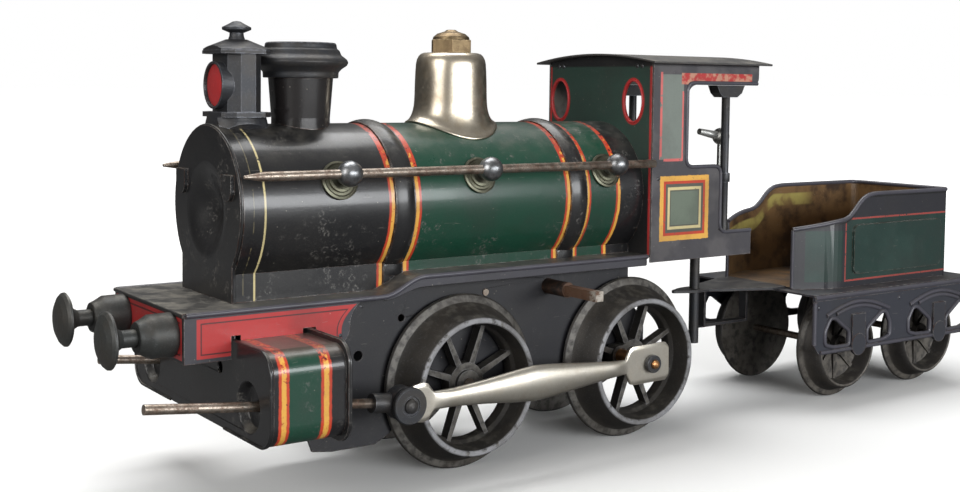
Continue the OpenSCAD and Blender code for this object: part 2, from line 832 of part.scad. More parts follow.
click_at = [14, 1.6];
module click() {
    color("Silver") translate([arbor[0], 0, arbor[1]]) plate_xz(ratchet_y[0], ratchet_y[1]) difference() {
        union() {
            polygon([[4.25, 7.1], [6.6, 6.6], [9.2, 5], [13.2, -0.3], [15, 3.6], [5.3, 8.85]]);
            translate(click_at) circle(r = 2.2, $fn = 32);
        }
        translate(click_at) circle(r = 1.2 + run, $fn = 32);
    }
}

module great_wheel() {
    color("Gold") {
        translate([arbor[0], 0, arbor[1]]) plate_xz(-7, -5.4) difference() {
            rotate([0, 0, ang_am]) gear(great_n);
            circle(r = arbor_r + run);
            for (i = [0:4]) rotate([0, 0, 72 * i + 42.5]) translate([16.4, 0]) circle(r = 4.2, $fn = 48);
        }
        bar_y(arbor[0] + click_at[0], arbor[1] + click_at[1], 1.2, -5.5, -3.4);
    }
}

module middle_wheel() {
    color("Gold") translate([middle[0], 0, middle[1]]) {
        plate_xz(-12, -10.4) rotate([0, 0, ang_md]) gear(middle_n);
        plate_xz(-8, -4.4) rotate([0, 0, ang_am + 180 + 180 / small_n]) gear(small_n);
        bar_y(0, 0, 1.5, -frame_y - 0.5, frame_y + 0.5);
        bar_y(0, 0, 2.6, -12.5, -4);
    }
}

module drive_pinion() {
    color("Gold") translate([rear_ax, 0, axle_z]) plate_xz(-13, -9.4) difference() {
        rotate([0, 0, ang_md + 180 + 180 / drive_n]) gear(drive_n);
        circle(r = axle_r + eps);
    }
}

// ---- buffers ---------------------------------------------------------------------------

module buffer_stocks() {
    color("DimGray") for (s = [-1, 1]) difference() {
        translate([front_x - eps, s * buffer_y, buffer_z]) rotate([0, -90, 0]) rotate_extrude($fn = 64)
            polygon([
                [4.2, 0], [6.6, 0], [6.5, 7.2], [5.2, 9.6], [4.6, 11.2], [2.65, 11.2], [2.65, 8.6], [4.2, 8.6]
            ]);
    }
}

module buffer(s) {
    translate([front_x - 20, s * buffer_y, buffer_z]) rotate([0, 90, 0]) rotate_extrude($fn = 96) polygon([
        [0, -2.4], [3, -2.2], [5.6, -1.5], [7.6, -0.5], [8.4, 0.3], [8.5, 0.9], [8, 1.3], [5.4, 1.9], [3.4, 3.2],
        [2.6, 4.6], [2.6, 24.6], [0, 24.6]
    ]);
    bar_x(s * buffer_y, buffer_z, 4, front_x + sheet + 0.1, front_x + 2.4);
}

module buffer_left() {
    color("DarkGray") buffer(-1);
}

module buffer_right() {
    color("DarkGray") buffer(1);
}

// ---- tender ----------------------------------------------------------------------------

wing_x1 = 132.5;
wing_x2 = 153.5;
wing_y1 = 18.9;
wing_y2 = 26.9;
body_x2 = 227.9;
function wing(d, s, n = 10) = [for (i = [0:n])
    [wing_x1 + (wing_x2 - wing_x1) * i / n, s * (wing_y2 - (wing_y2 - wing_y1) * pow(1 - i / n, 1.6) - d)]];
function wall_line(d) = concat(
    wing(d, 1), arc(body_x2 - 4, wing_y2 - 4, 4 - d, 90, 0, 6),
    arc(body_x2 - 4, -wing_y2 + 4, 4 - d, 0, -90, 6), back(wing(d, -1))
);

module tender_panel(x0, x1) {
    round_rect(x0, 48, x1, 69, 3);
}

module tender_body() {
    color("DarkGreen") intersection() {
        union() {
            translate([0, 0, plat_z + eps]) linear_extrude(60)
                polygon(concat(wall_line(0), back(wall_line(sheet))));
            translate([0, 0, plat_z + eps]) linear_extrude(sheet) polygon(wall_line(0.2));
            both() plate_xz(-wing_y2 - 1.1, -wing_y2 + 0.2) tender_panel(160.5, 220.6);
            plate_yz(body_x2 - 0.2, body_x2 + 1.1) round_rect(-20, 48, 20, 69, 3);
        }
        plate_xz(-40, 40) polygon([
            [100, 30], [260, 30], [260, 81.8], [176, 81.8], [171.5, 81.4], [168, 80.2], [165, 78], [162, 75],
            [159, 72.6], [156, 71.4], [150, 70.6], [140, 68.9], [132.5, 67.6], [100, 62]
        ]);
    }
}

module side_frame_shape() {
    difference() {
        polygon([
            [platform_x1, 41.9], [platform_x1, 22], [131, 18], [233.5, 18], [platform_x2, 22], [platform_x2, 41.9]
        ]);
        for (c = [tender_x1 + 0.25, tender_x2 - 0.25], s = [-1, 1])
            polygon([
                [c + s * 6.5, 20.6], [c + s * 15, 20.6], [c + s * 20.4, 22], [c + s * 20.4, 27],
                [c + s * 17.5, 31.6], [c + s * 15, 31.6], [c + s * 6.5, 26]
            ]);
    }
}

module tender_chassis() {
    color("SlateGray") {
        translate([platform_x1, -tender_w, plat_z - sheet])
            cube([platform_x2 - platform_x1, 2 * tender_w, sheet]);
        both() difference() {
            union() {
                plate_xz(-tender_w, -tender_w + sheet) side_frame_shape();
                for (x = [tender_x1, tender_x2]) {
                    bar_y(x, tender_z + 2, 4.6, -tender_w - 1.2, -tender_w + 0.2);
                    translate([x - 4.2, -tender_w - 0.9, tender_z]) cube([8.4, 1, 15]);
                }
                plate_xz(-tender_w - 0.7, -tender_w + 0.1) polygon([
                    [platform_x1, 40], [platform_x2, 40], [platform_x2, 41.9], [platform_x1, 41.9]
                ]);
            }
            for (x = [tender_x1, tender_x2]) bar_y(x, tender_z, 1.5 + run, -tender_w - 0.6, -30);
        }
    }
}

module tender_axle(x) {
    bar_y(x, tender_z, 1.5, -tender_w - 0.2, tender_w + 0.2);
}

module tender_axle_front() {
    color("Silver") tender_axle(tender_x1);
}

module tender_axle_rear() {
    color("Silver") tender_axle(tender_x2);
}

module tender_wheel(x) {
    translate([x, 0, tender_z]) rotate([90, 0, 0]) difference() {
        union() {
            rotate_extrude($fn = 96) polygon([
                [2, 21.2], [21.8, 21.2], [22.4, 21.8], [22, 22.6], [19.8, 23.3], [19.2, 24], [17.6, 29.6],
                [16.8, 30.4], [16, 30.2], [14.6, 23.4], [2, 22.4]
            ]);
            for (i = [0:7]) rotate([0, 0, i * 45]) translate([0, 0, 21.8]) linear_extrude(2.2)
                polygon([[2, -1.3], [15.2, -0.9], [15.2, 0.9], [2, 1.3]]);
            translate([0, 0, 21.2]) cylinder(r = 4, h = 5.6);
        }
        translate([0, 0, 10]) cylinder(r = 1.5 + eps, h = 30);
    }
}

module tender_wheels_front() {
    color("DarkGray") both() tender_wheel(tender_x1);
}

module tender_wheels_rear() {
    color("DarkGray") both() tender_wheel(tender_x2);
}

module drawbar() {
    color("DimGray") {
        difference() {
            translate([0, 0, plat_z + eps]) linear_extrude(1.2) polygon([
                [82, -0.6], [82, 0.6], [88, 3.6], [92, 4.6], [98, 4.8], [104, 8], [124, 16], [132, 16],
                [132, -16], [124, -16], [104, -8], [98, -4.8], [92, -4.6], [88, -3.6]
            ]);
            translate([pin_x, 0, plat_z - 1]) cylinder(r = pin_r + run, h = 4);
        }
        translate([98.2, -2, 27.4]) cube([1.2, 4, plat_z + 0.5 - 27.4]);
        translate([98.2, -2, 27.4]) cube([26, 4, 1.2]);
        translate([123, -2, 27.4]) cube([1.2, 4, plat_z + 0.5 - 27.4]);
    }
}

module draw_pin() {
    color("Silver") {
        translate([pin_x, 0, 21]) cylinder(r = pin_r, h = run_under - eps - 21);
        translate([pin_x, 0, run_under - 2]) cylinder(r = 3.4, h = 2 - eps);
    }
}

module tender_hook() {
    color("DimGray") difference() {
        union() {
            translate([222, -5, plat_z - sheet - 1.2]) cube([20, 10, 1.2 - eps]);
            translate([242, 0, plat_z - sheet - 1.2]) cylinder(r = 5, h = 1.2 - eps);
        }
        translate([242, 0, plat_z - 6]) cylinder(r = 2.5, h = 8);
    }
}

// ---- drawing ----------------------------------------------------------------------------

footplate();
apron();
frame_left();
frame_right();
frame_pillars();
boiler();
smokebox_front();
chimney();
chimney_cap();
lamp();
lamp_lens();
dome();
dome_bolt();
handrails();
rail_knobs();
rail_rosettes();
cab_front();
cab_left();
cab_right();
cab_roof();
cab_pillars();
control_lever();
cylinder_front();
cylinder_rear();
cylinder_left();
cylinder_right();
piston_left();
piston_right();
crosshead_left();
crosshead_right();
rod_left();
rod_right();
rod_disc_left();
rod_disc_right();
crank_pins();
crank_collars();
drive_axle();
drive_wheels();
front_axle();
front_wheels();
mainspring();
winding_arbor();
ratchet_wheel();
click();
great_wheel();
middle_wheel();
drive_pinion();
buffer_stocks();
buffer_left();
buffer_right();
tender_body();
tender_chassis();
tender_axle_front();
tender_axle_rear();
tender_wheels_front();
tender_wheels_rear();
drawbar();
draw_pin();
tender_hook();
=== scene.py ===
"""Looks for a tinplate clockwork locomotive and its tender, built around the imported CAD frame."""
import math
import bmesh
import bpy
from mathutils import Matrix, Vector


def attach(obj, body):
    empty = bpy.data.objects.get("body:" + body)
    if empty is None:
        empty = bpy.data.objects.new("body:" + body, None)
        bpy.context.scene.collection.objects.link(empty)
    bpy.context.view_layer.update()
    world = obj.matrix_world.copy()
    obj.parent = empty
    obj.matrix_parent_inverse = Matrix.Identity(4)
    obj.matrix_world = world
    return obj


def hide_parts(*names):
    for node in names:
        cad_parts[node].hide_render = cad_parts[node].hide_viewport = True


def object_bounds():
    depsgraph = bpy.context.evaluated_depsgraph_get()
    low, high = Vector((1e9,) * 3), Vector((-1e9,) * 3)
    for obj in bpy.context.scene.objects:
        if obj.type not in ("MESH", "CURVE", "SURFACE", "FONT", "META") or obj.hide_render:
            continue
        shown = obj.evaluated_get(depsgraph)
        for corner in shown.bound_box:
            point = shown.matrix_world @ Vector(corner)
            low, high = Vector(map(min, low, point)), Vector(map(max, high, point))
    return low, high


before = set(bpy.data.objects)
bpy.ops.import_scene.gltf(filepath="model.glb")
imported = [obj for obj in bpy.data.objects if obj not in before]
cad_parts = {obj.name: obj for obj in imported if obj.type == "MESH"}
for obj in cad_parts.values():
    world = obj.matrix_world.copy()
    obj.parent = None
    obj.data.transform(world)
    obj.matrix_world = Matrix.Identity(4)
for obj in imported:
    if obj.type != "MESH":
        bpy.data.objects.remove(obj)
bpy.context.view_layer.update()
MM = 0.001

# ---------------------------------------------------------------- shared sizes (mm) and angles
SHARP_ANGLE = math.radians(48)
BEVEL_ANGLE = math.radians(32)
BOILER_R, BOILER_Z, SKIRT_Y = 26.5, 86.6, 18.5
RIB_STARTS, RIB_WIDTH, RIB_HEIGHT, RIB_STEPS = (-66.5, 6.2), 7.2, 1.05, 12
SEAM_X, SEAM_R, SEAM_Z = -119.6, 25.75, 87.1
FOOTPLATE_Y = 29.1
CAB_Y = 30.9
WINDOW_MID, WINDOW_HALF, WINDOW_Z = 1.9, 21.7, 121.0
CYLINDER_TOP, CYLINDER_FOOT, CYLINDER_REACH = 50, 21.3, 54
ROD_FACE, ROD_BACK = 43.2, 42.1
TENDER_PANEL = (155.8, 45.0, 227.0, 72.0)
TENDER_FRONT, TENDER_SIDE = 132.5, 26.9
TENDER_FRAME_Y = 35.1
TENDER_AXLES = (155.25, 209.75)

# ---------------------------------------------------------------- colours (linear)
BLACK = (0.008, 0.008, 0.009)
GREEN = (0.006, 0.046, 0.026)
RED = (0.50, 0.045, 0.016)
YELLOW = (0.72, 0.38, 0.065)
CREAM = (0.62, 0.52, 0.26)
PANEL_RED = (0.42, 0.025, 0.024)
PINK = (0.62, 0.13, 0.12)
RUST = (0.10, 0.042, 0.022)
DUST = (0.20, 0.185, 0.155)
BARE = (0.30, 0.28, 0.26)
MAUVE = (0.058, 0.056, 0.070)
# grey-green of the cab side's lower panel field: partly paint, partly a painted reflection
FIELD_PAINT_AND_REFLECTION = (0.13, 0.16, 0.12)
GOLD_LACQUER = (0.17, 0.095, 0.038)


class Tree:
    """A material built from nodes; its coordinates are millimetres in the row frame."""

    def __init__(self, name):
        self.mat = bpy.data.materials.new(name)
        self.mat.use_nodes = True
        self.nodes = self.mat.node_tree.nodes
        self.links = self.mat.node_tree.links
        self.nodes.clear()
        out = self.nodes.new("ShaderNodeOutputMaterial")
        self.bsdf = self.nodes.new("ShaderNodeBsdfPrincipled")
        self.links.new(self.bsdf.outputs[0], out.inputs[0])
        coord = self.nodes.new("ShaderNodeTexCoord")
        scale = self.nodes.new("ShaderNodeVectorMath")
        scale.operation = "SCALE"
        self.put(scale.inputs[0], coord.outputs["Object"])
        scale.inputs["Scale"].default_value = 1 / MM
        self.pos = scale.outputs[0]
        self.x, self.y, self.z = self.split(self.pos)
        self.nx, self.ny, self.nz = self.split(coord.outputs["Normal"])
        self.geo = self.nodes.new("ShaderNodeNewGeometry")

    def put(self, sock, value):
        """Links a socket or sets a plain value."""
        if isinstance(value, bpy.types.NodeSocket):
            self.links.new(value, sock)
        elif isinstance(value, tuple) and len(value) == 3 and sock.type == "RGBA":
            sock.default_value = (*value, 1)
        else:
            sock.default_value = value

    def split(self, vec):
        n = self.nodes.new("ShaderNodeSeparateXYZ")
        self.put(n.inputs[0], vec)
        return n.outputs[0], n.outputs[1], n.outputs[2]

    def math(self, op, a, b=0.0, clamp=False):
        n = self.nodes.new("ShaderNodeMath")
        n.operation = op
        n.use_clamp = clamp
        self.put(n.inputs[0], a)
        self.put(n.inputs[1], b)
        return n.outputs[0]

    def add(self, a, b):
        return self.math("ADD", a, b)

    def mul(self, a, b):
        return self.math("MULTIPLY", a, b)

    def inv(self, a):
        return self.math("SUBTRACT", 1.0, a)

    def rise(self, v, lo, hi):
        """0 below lo, 1 above hi, smooth between."""
        n = self.nodes.new("ShaderNodeMapRange")
        n.interpolation_type = "SMOOTHSTEP"
        self.put(n.inputs["Value"], v)
        n.inputs["From Min"].default_value = lo
        n.inputs["From Max"].default_value = hi
        return n.outputs["Result"]

    def band(self, v, lo, hi, soft=0.12):
        """1 between lo and hi."""
        past = self.rise(v, hi - soft, hi + soft)
        return self.mul(self.rise(v, lo - soft, lo + soft), self.inv(past))

    def rect(self, u, v, u0, v0, u1, v1, soft=0.12):
        return self.mul(self.band(u, u0, u1, soft), self.band(v, v0, v1, soft))

    def ring(self, u, v, u0, v0, u1, v1, w, soft=0.12):
        """1 on a frame line of width w, just inside the rectangle."""
        outer = self.rect(u, v, u0, v0, u1, v1, soft)
        inner = self.rect(u, v, u0 + w, v0 + w, u1 - w, v1 - w, soft)
        return self.math("SUBTRACT", outer, inner, True)

    def mix(self, fac, a, b):
        n = self.nodes.new("ShaderNodeMix")
        n.data_type = "RGBA"
        self.put(n.inputs[0], fac)
        self.put(n.inputs[6], a)
        self.put(n.inputs[7], b)
        return n.outputs[2]

    def noise(self, scale, detail=4.0, rough=0.55, stretch=None, warp=0.0):
        n = self.nodes.new("ShaderNodeTexNoise")
        vec = self.pos
        if stretch:
            m = self.nodes.new("ShaderNodeVectorMath")
            m.operation = "MULTIPLY"
            self.put(m.inputs[0], vec)
            m.inputs[1].default_value = stretch
            vec = m.outputs[0]
        self.put(n.inputs["Vector"], vec)
        n.inputs["Scale"].default_value = scale
        n.inputs["Detail"].default_value = detail
        n.inputs["Roughness"].default_value = rough
        n.inputs["Distortion"].default_value = warp
        return n.outputs["Fac"]

    def cells(self, scale):
        n = self.nodes.new("ShaderNodeTexVoronoi")
        self.put(n.inputs["Vector"], self.pos)
        n.inputs["Scale"].default_value = scale
        return n.outputs["Distance"]

    def edge(self, radius=0.5):
        """1 on sharp edges and corners, from the difference a rounded normal makes."""
        b = self.nodes.new("ShaderNodeBevel")
        b.samples = 4
        b.inputs["Radius"].default_value = radius * MM
        d = self.nodes.new("ShaderNodeVectorMath")
        d.operation = "DOT_PRODUCT"
        self.put(d.inputs[0], b.outputs[0])
        self.put(d.inputs[1], self.geo.outputs["Normal"])
        return self.rise(self.inv(d.outputs["Value"]), 0.01, 0.22)

    def bump(self, height, strength=0.3, depth=0.1):
        n = self.nodes.new("ShaderNodeBump")
        n.inputs["Strength"].default_value = strength
        n.inputs["Distance"].default_value = depth * MM
        self.put(n.inputs["Height"], height)
        self.put(self.bsdf.inputs["Normal"], n.outputs[0])

    def finish(self, colour, rough, metal=0.0, coat=0.0, spec=0.5):
        self.put(self.bsdf.inputs["Base Color"], colour)
        self.put(self.bsdf.inputs["Roughness"], rough)
        self.put(self.bsdf.inputs["Metallic"], metal)
        self.put(self.bsdf.inputs["Coat Weight"], coat)
        self.bsdf.inputs["Coat Roughness"].default_value = 0.12
        self.put(self.bsdf.inputs["Specular IOR Level"], spec)
        return self.mat


def enamel(name, paint, rough=0.30, spots=0.35, dust=0.5, wear=0.8, coat=0.25, pits=0.3):
    """Old enamel on tin: faded, speckled, dusty on top, worn to brown metal at its edges."""
    t = Tree(name)
    colour = paint(t) if callable(paint) else paint
    cloud = t.noise(0.045, 5, 0.6)
    colour = t.mix(t.mul(t.rise(cloud, 0.42, 0.66), 0.28), colour, (0.022, 0.020, 0.018))
    grain = t.noise(1.6, 4, 0.7)
    colour = t.mix(t.mul(t.rise(grain, 0.48, 0.75), 0.14), colour, (0.075, 0.068, 0.060))
    patch = t.rise(t.noise(0.055, 4, 0.65), 0.50, 0.60)
    crater = t.mul(t.band(t.cells(0.30), 0.22, 0.38, 0.09), patch)
    crater = t.mul(t.mul(crater, t.rise(t.noise(1.3, 4, 0.7), 0.46, 0.60)), spots)
    specks = t.rise(t.noise(1.0, 6, 0.8), 0.56, 0.66)
    crater = t.add(crater, t.mul(t.mul(specks, patch), spots * 0.45))
    colour = t.mix(crater, colour, (0.13, 0.122, 0.11))
    flecks = t.mul(t.inv(t.rise(t.cells(0.42), 0.05, 0.11)), t.rise(t.noise(0.17, 3), 0.52, 0.60))
    flecks = t.mul(flecks, pits)
    colour = t.mix(flecks, colour, (0.42, 0.38, 0.31))
    scratch = t.rise(t.noise(0.5, 2, 0.5, stretch=(0.25, 2.0, 3.2), warp=0.6), 0.735, 0.75)
    scratch = t.mul(scratch, 0.5 * pits + 0.15)
    colour = t.mix(scratch, colour, (0.24, 0.22, 0.19))
    up = t.mul(t.rise(t.nz, 0.45, 0.95), dust)
    dirt = t.mul(up, t.rise(t.add(t.noise(0.12, 6, 0.7), t.mul(t.noise(2.3, 3), 0.25)), 0.50, 0.84))
    colour = t.mix(dirt, colour, DUST)
    edge = t.edge(0.55)
    bite = t.add(t.mul(edge, 0.75), t.mul(t.math("SUBTRACT", t.noise(0.55, 6, 0.75), 0.5), 1.3))
    worn = t.mul(t.rise(bite, 0.42, 0.62), wear)
    bare = t.mix(t.rise(t.noise(0.4, 4), 0.40, 0.60), RUST, BARE)
    colour = t.mix(worn, colour, bare)
    r = t.add(rough, t.mul(cloud, 0.16))
    r = t.add(r, t.mul(dirt, 0.45))
    marks = t.math("MAXIMUM", crater, flecks)
    r = t.add(r, t.mul(marks, 0.3))
    r = t.add(r, t.mul(worn, 0.12))
    height = t.add(t.mul(grain, 0.35), t.mul(t.noise(0.22, 4), 0.9))
    height = t.math("SUBTRACT", height, t.mul(t.math("MAXIMUM", marks, worn), 0.6))
    t.bump(height, 0.35, 0.12)
    fresh = t.inv(t.math("MAXIMUM", worn, dirt, True))
    return t.finish(colour, r, t.mul(worn, 0.55), t.mul(fresh, coat))


def metal(name, colour, rough, tarnish, stain, rust=0.0, bright=None, full=1.0):
    """Bare or plated metal: tarnish clouds, fine scratches, rust spots and bright or dark edges."""
    t = Tree(name)
    colour = colour(t) if callable(colour) else colour
    cloud = t.noise(0.16, 5, 0.65)
    fine = t.noise(1.9, 4, 0.7)
    c = t.mix(t.mul(t.rise(cloud, 0.42, 0.70), stain), colour, tarnish)
    c = t.mix(t.mul(t.rise(fine, 0.52, 0.72), stain * 0.7), c, tarnish)
    grime = t.add(t.mul(t.noise(0.45, 6, 0.7), 0.7), t.mul(fine, 0.3))
    spot = t.mul(t.rise(grime, 0.47, 0.60), rust)
    c = t.mix(spot, c, RUST)
    if bright:
        edge = t.mul(t.edge(0.45), t.rise(t.noise(0.6, 4), 0.30, 0.60))
        c = t.mix(t.mul(edge, 0.85), c, bright)
    line = t.noise(3.5, 2, 0.5, stretch=(0.2, 1.0, 3.0))
    r = t.add(rough, t.mul(cloud, 0.14))
    r = t.add(r, t.mul(spot, 0.35))
    t.bump(t.add(t.mul(line, 0.4), t.add(t.mul(fine, 0.5), t.mul(spot, 0.5))), 0.22, 0.07)
    return t.finish(c, r, t.mul(t.inv(t.mul(spot, 0.85)), full))


def cast(name, colour, edge_colour, rough, full, grit=0.6):
    """Rough casting, dark with a thin worn coat and lighter handled edges."""
    t = Tree(name)
    colour = colour(t) if callable(colour) else colour
    cloud = t.noise(0.10, 6, 0.65)
    fine = t.noise(1.4, 5, 0.75)
    c = t.mix(t.mul(t.rise(cloud, 0.38, 0.68), 0.6), colour, (0.055, 0.047, 0.038))
    c = t.mix(t.mul(t.rise(fine, 0.53, 0.72), 0.40), c, (0.13, 0.13, 0.135))
    edge = t.mul(t.edge(0.6), t.rise(t.noise(0.5, 5, 0.7), 0.32, 0.58))
    c = t.mix(t.mul(edge, 0.8), c, edge_colour)
    up = t.mul(t.rise(t.nz, 0.5, 0.95), t.rise(t.noise(0.3, 5), 0.45, 0.7))
    c = t.mix(t.mul(up, 0.35), c, DUST)
    r = t.add(rough, t.mul(fine, 0.18))
    t.bump(t.add(t.mul(fine, grit), t.mul(t.noise(0.5, 4), 0.8)), 0.4, 0.16)
    return t.finish(c, r, t.add(full, t.mul(edge, 0.4)))


# ---------------------------------------------------------------- painted patterns
def lined(t, x, lo, hi, red_first, top_fade):
    """Masks of one pulled line: the red and the yellow halves, chipped and thinned near the top."""
    mid = lo + (hi - lo) * (0.42 if red_first else 0.58)
    chip = t.noise(0.55, 5, 0.7)
    keep = t.inv(t.rise(t.add(chip, t.mul(top_fade, 0.10)), 0.63, 0.70))
    thin = t.inv(t.rise(t.add(chip, t.mul(top_fade, 0.30)), 0.58, 0.68))
    whole = t.mul(t.band(x, lo, hi, 0.16), keep)
    half = (mid, hi) if red_first else (lo, mid)
    return whole, t.mul(t.band(x, half[0], half[1], 0.22), thin)


def boiler_paint(t):
    """Black smokebox end, green barrel, black band under the rear rib, five pulled lines."""
    wob = t.mul(t.math("SUBTRACT", t.noise(0.35, 3), 0.5), 0.5)
    x = t.add(t.x, wob)
    c = t.mix(t.band(x, -56.4, 28.0), BLACK, GREEN)
    c = t.mix(t.band(x, 6.0, 13.6), c, BLACK)
    top = t.rise(t.z, 90, 112)
    for lo, hi, red_first in ((-68.8, -66.8, True), (-58.6, -56.5, False), (4.0, 6.1, True),
                              (13.8, 15.7, False), (27.6, 29.6, True)):
        whole, yellow = lined(t, x, lo, hi, red_first, top)
        c = t.mix(whole, c, RED)
        c = t.mix(yellow, c, YELLOW)
    line = t.mul(t.band(t.x, -112.7, -112.05, 0.12), t.inv(t.rise(t.noise(0.6, 4), 0.60, 0.66)))
    c = t.mix(line, c, CREAM)
    faint = t.mul(t.band(t.x, -116.3, -116.0, 0.1), t.rise(t.noise(0.4, 4), 0.45, 0.55))
    return t.mix(t.mul(faint, 0.2), c, CREAM)


def apron_paint(t):
    """Red side panels and buffer beam, each with a thin dark line inside its border."""
    front = t.rise(t.math("MULTIPLY", t.nx, -1.0), 0.5, 0.8)
    bend = t.mul(t.math("POWER", t.math("MAXIMUM", t.math("SUBTRACT", t.z, 49.0), 0.0), 2.0), 0.085)
    bend = t.mul(bend, t.rise(t.x, -118, -98))
    u = t.math("SUBTRACT", t.x, bend)
    side = t.mul(t.band(u, -135.6, -87.6), t.band(t.z, 45.2, 57.0))
    line = t.ring(u, t.z, -134.4, 46.2, -88.9, 55.8, 0.45, 0.1)
    c = t.mix(side, (0.035, 0.034, 0.042), PANEL_RED)
    c = t.mix(t.mul(line, 0.85), c, (0.03, 0.01, 0.012))
    beam = t.rect(t.y, t.z, -27.6, 45.0, 27.6, 57.4)
    edge = t.ring(t.y, t.z, -26.4, 46.2, 26.4, 56.2, 0.5, 0.1)
    f = t.mix(beam, BLACK, (0.30, 0.018, 0.018))
    f = t.mix(t.mul(edge, 0.85), f, (0.02, 0.01, 0.01))
    return t.mix(front, c, f)


def cab_front_paint(t):
    """Green plate, black above and below, a red oval round each window."""
    ay = t.math("ABSOLUTE", t.y)
    centre = t.add(WINDOW_MID, t.mul(WINDOW_HALF, t.math("SIGN", t.y)))
    du = t.math("DIVIDE", t.math("SUBTRACT", t.y, centre), 6.3)
    dv = t.math("DIVIDE", t.math("SUBTRACT", t.z, WINDOW_Z), 8.9)
    rad = t.math("SQRT", t.add(t.mul(du, du), t.mul(dv, dv)))
    c = t.mix(t.rise(t.z, 84, 106), BLACK, (0.022, 0.050, 0.038))
    c = t.mix(t.band(ay, 28.9, 30.2), c, PANEL_RED)
    c = t.mix(t.rise(t.z, 133.5, 134.5), c, BLACK)
    return t.mix(t.inv(t.rise(rad, 0.96, 1.02)), c, (0.42, 0.022, 0.020))


def cab_side_paint(t):
    """Lined grey panels on a brown-black side, their grey partly paint and partly a painted
    reflection; bare tin inside, its light grey partly the tin's colour and partly a painted
    reflection.
    """
    x, z = t.x, t.z
    wob = t.mul(t.math("SUBTRACT", t.noise(0.7, 4), 0.5), 0.8)
    xw, zw = t.add(x, wob), t.add(z, wob)
    c = t.mix(t.rise(t.noise(0.08, 3), 0.4, 0.6), (0.050, 0.047, 0.053), (0.085, 0.079, 0.083))
    # the upright panel is painted lighter than the lower field: partly grey-green paint, partly a
    # painted reflection
    upright_paint_and_reflection = t.rect(x, z, 44.4, 99.6, 56.2, 131.2)
    c = t.mix(upright_paint_and_reflection, c, (0.17, 0.195, 0.17))
    lintel = t.mix(t.rise(t.noise(0.35, 3), 0.42, 0.6), PANEL_RED, (0.50, 0.24, 0.16))
    c = t.mix(t.rect(x, z, 55.0, 127.6, 92.6, 131.8), c, lintel)
    lines = t.rect(x, z, 44.4, 99.8, 45.5, 132.0)
    lines = t.math("MAXIMUM", lines, t.rect(x, z, 46.5, 98.9, 56.0, 99.9))
    lines = t.math("MAXIMUM", lines, t.rect(x, z, 55.5, 99.0, 56.3, 125.0))
    chip = t.inv(t.rise(t.noise(0.4, 5), 0.56, 0.64))
    c = t.mix(t.mul(lines, chip), c, PINK)
    keep = t.inv(t.rise(t.noise(0.45, 5, 0.7), 0.62, 0.68))
    c = t.mix(t.mul(t.ring(xw, zw, 45, 69.2, 70.2, 93.4, 2.0), keep), c, YELLOW)
    c = t.mix(t.mul(t.ring(x, z, 46.9, 71.1, 68.3, 91.5, 1.1), keep), c, RED)
    c = t.mix(t.rect(x, z, 48.0, 72.2, 67.2, 90.4), c, (0.085, 0.088, 0.070))
    c = t.mix(t.mul(t.ring(x, z, 49.0, 73.4, 66.2, 89.2, 1.1), keep), c, CREAM)
    # lower panel field in a grey-green that is partly paint and partly a painted reflection
    c = t.mix(t.rect(x, z, 50.6, 75.0, 64.6, 87.6), c, FIELD_PAINT_AND_REFLECTION)
    # bare tin inside the cab walls, painted light: partly the tin's colour, partly a painted
    # reflection
    inside = t.inv(t.rise(t.math("ABSOLUTE", t.y), 30.2, 30.5))
    tin = t.mix(t.rise(t.noise(0.1, 5), 0.4, 0.6), (0.16, 0.145, 0.12), (0.07, 0.06, 0.05))
    return t.mix(inside, c, tin)


def cylinder_paint(t):
    """Green saddle between two red and yellow lines, rubbed brown on top."""
    wob = t.mul(t.math("SUBTRACT", t.noise(0.5, 3), 0.5), 0.6)
    x = t.add(t.x, wob)
    c = t.mix(t.band(x, -118.0, -107.6), BLACK, GREEN)
    top = t.rise(t.z, 43, 49)
    c = t.mix(t.mul(t.rise(t.z, 47.0, 49.2), 0.75), c, (0.09, 0.055, 0.045))
    for lo, hi in ((-121.2, -117.9), (-107.7, -104.2)):
        chip = t.noise(0.55, 5, 0.75)
        keep = t.inv(t.rise(t.add(chip, t.mul(top, 0.10)), 0.61, 0.69))
        c = t.mix(t.mul(t.band(x, lo, hi, 0.15), keep), c, RED)
        thin = t.inv(t.rise(t.add(chip, t.mul(top, 0.16)), 0.57, 0.65))
        c = t.mix(t.mul(t.band(x, lo + 0.9, hi - 0.9, 0.2), thin), c, YELLOW)
    return c


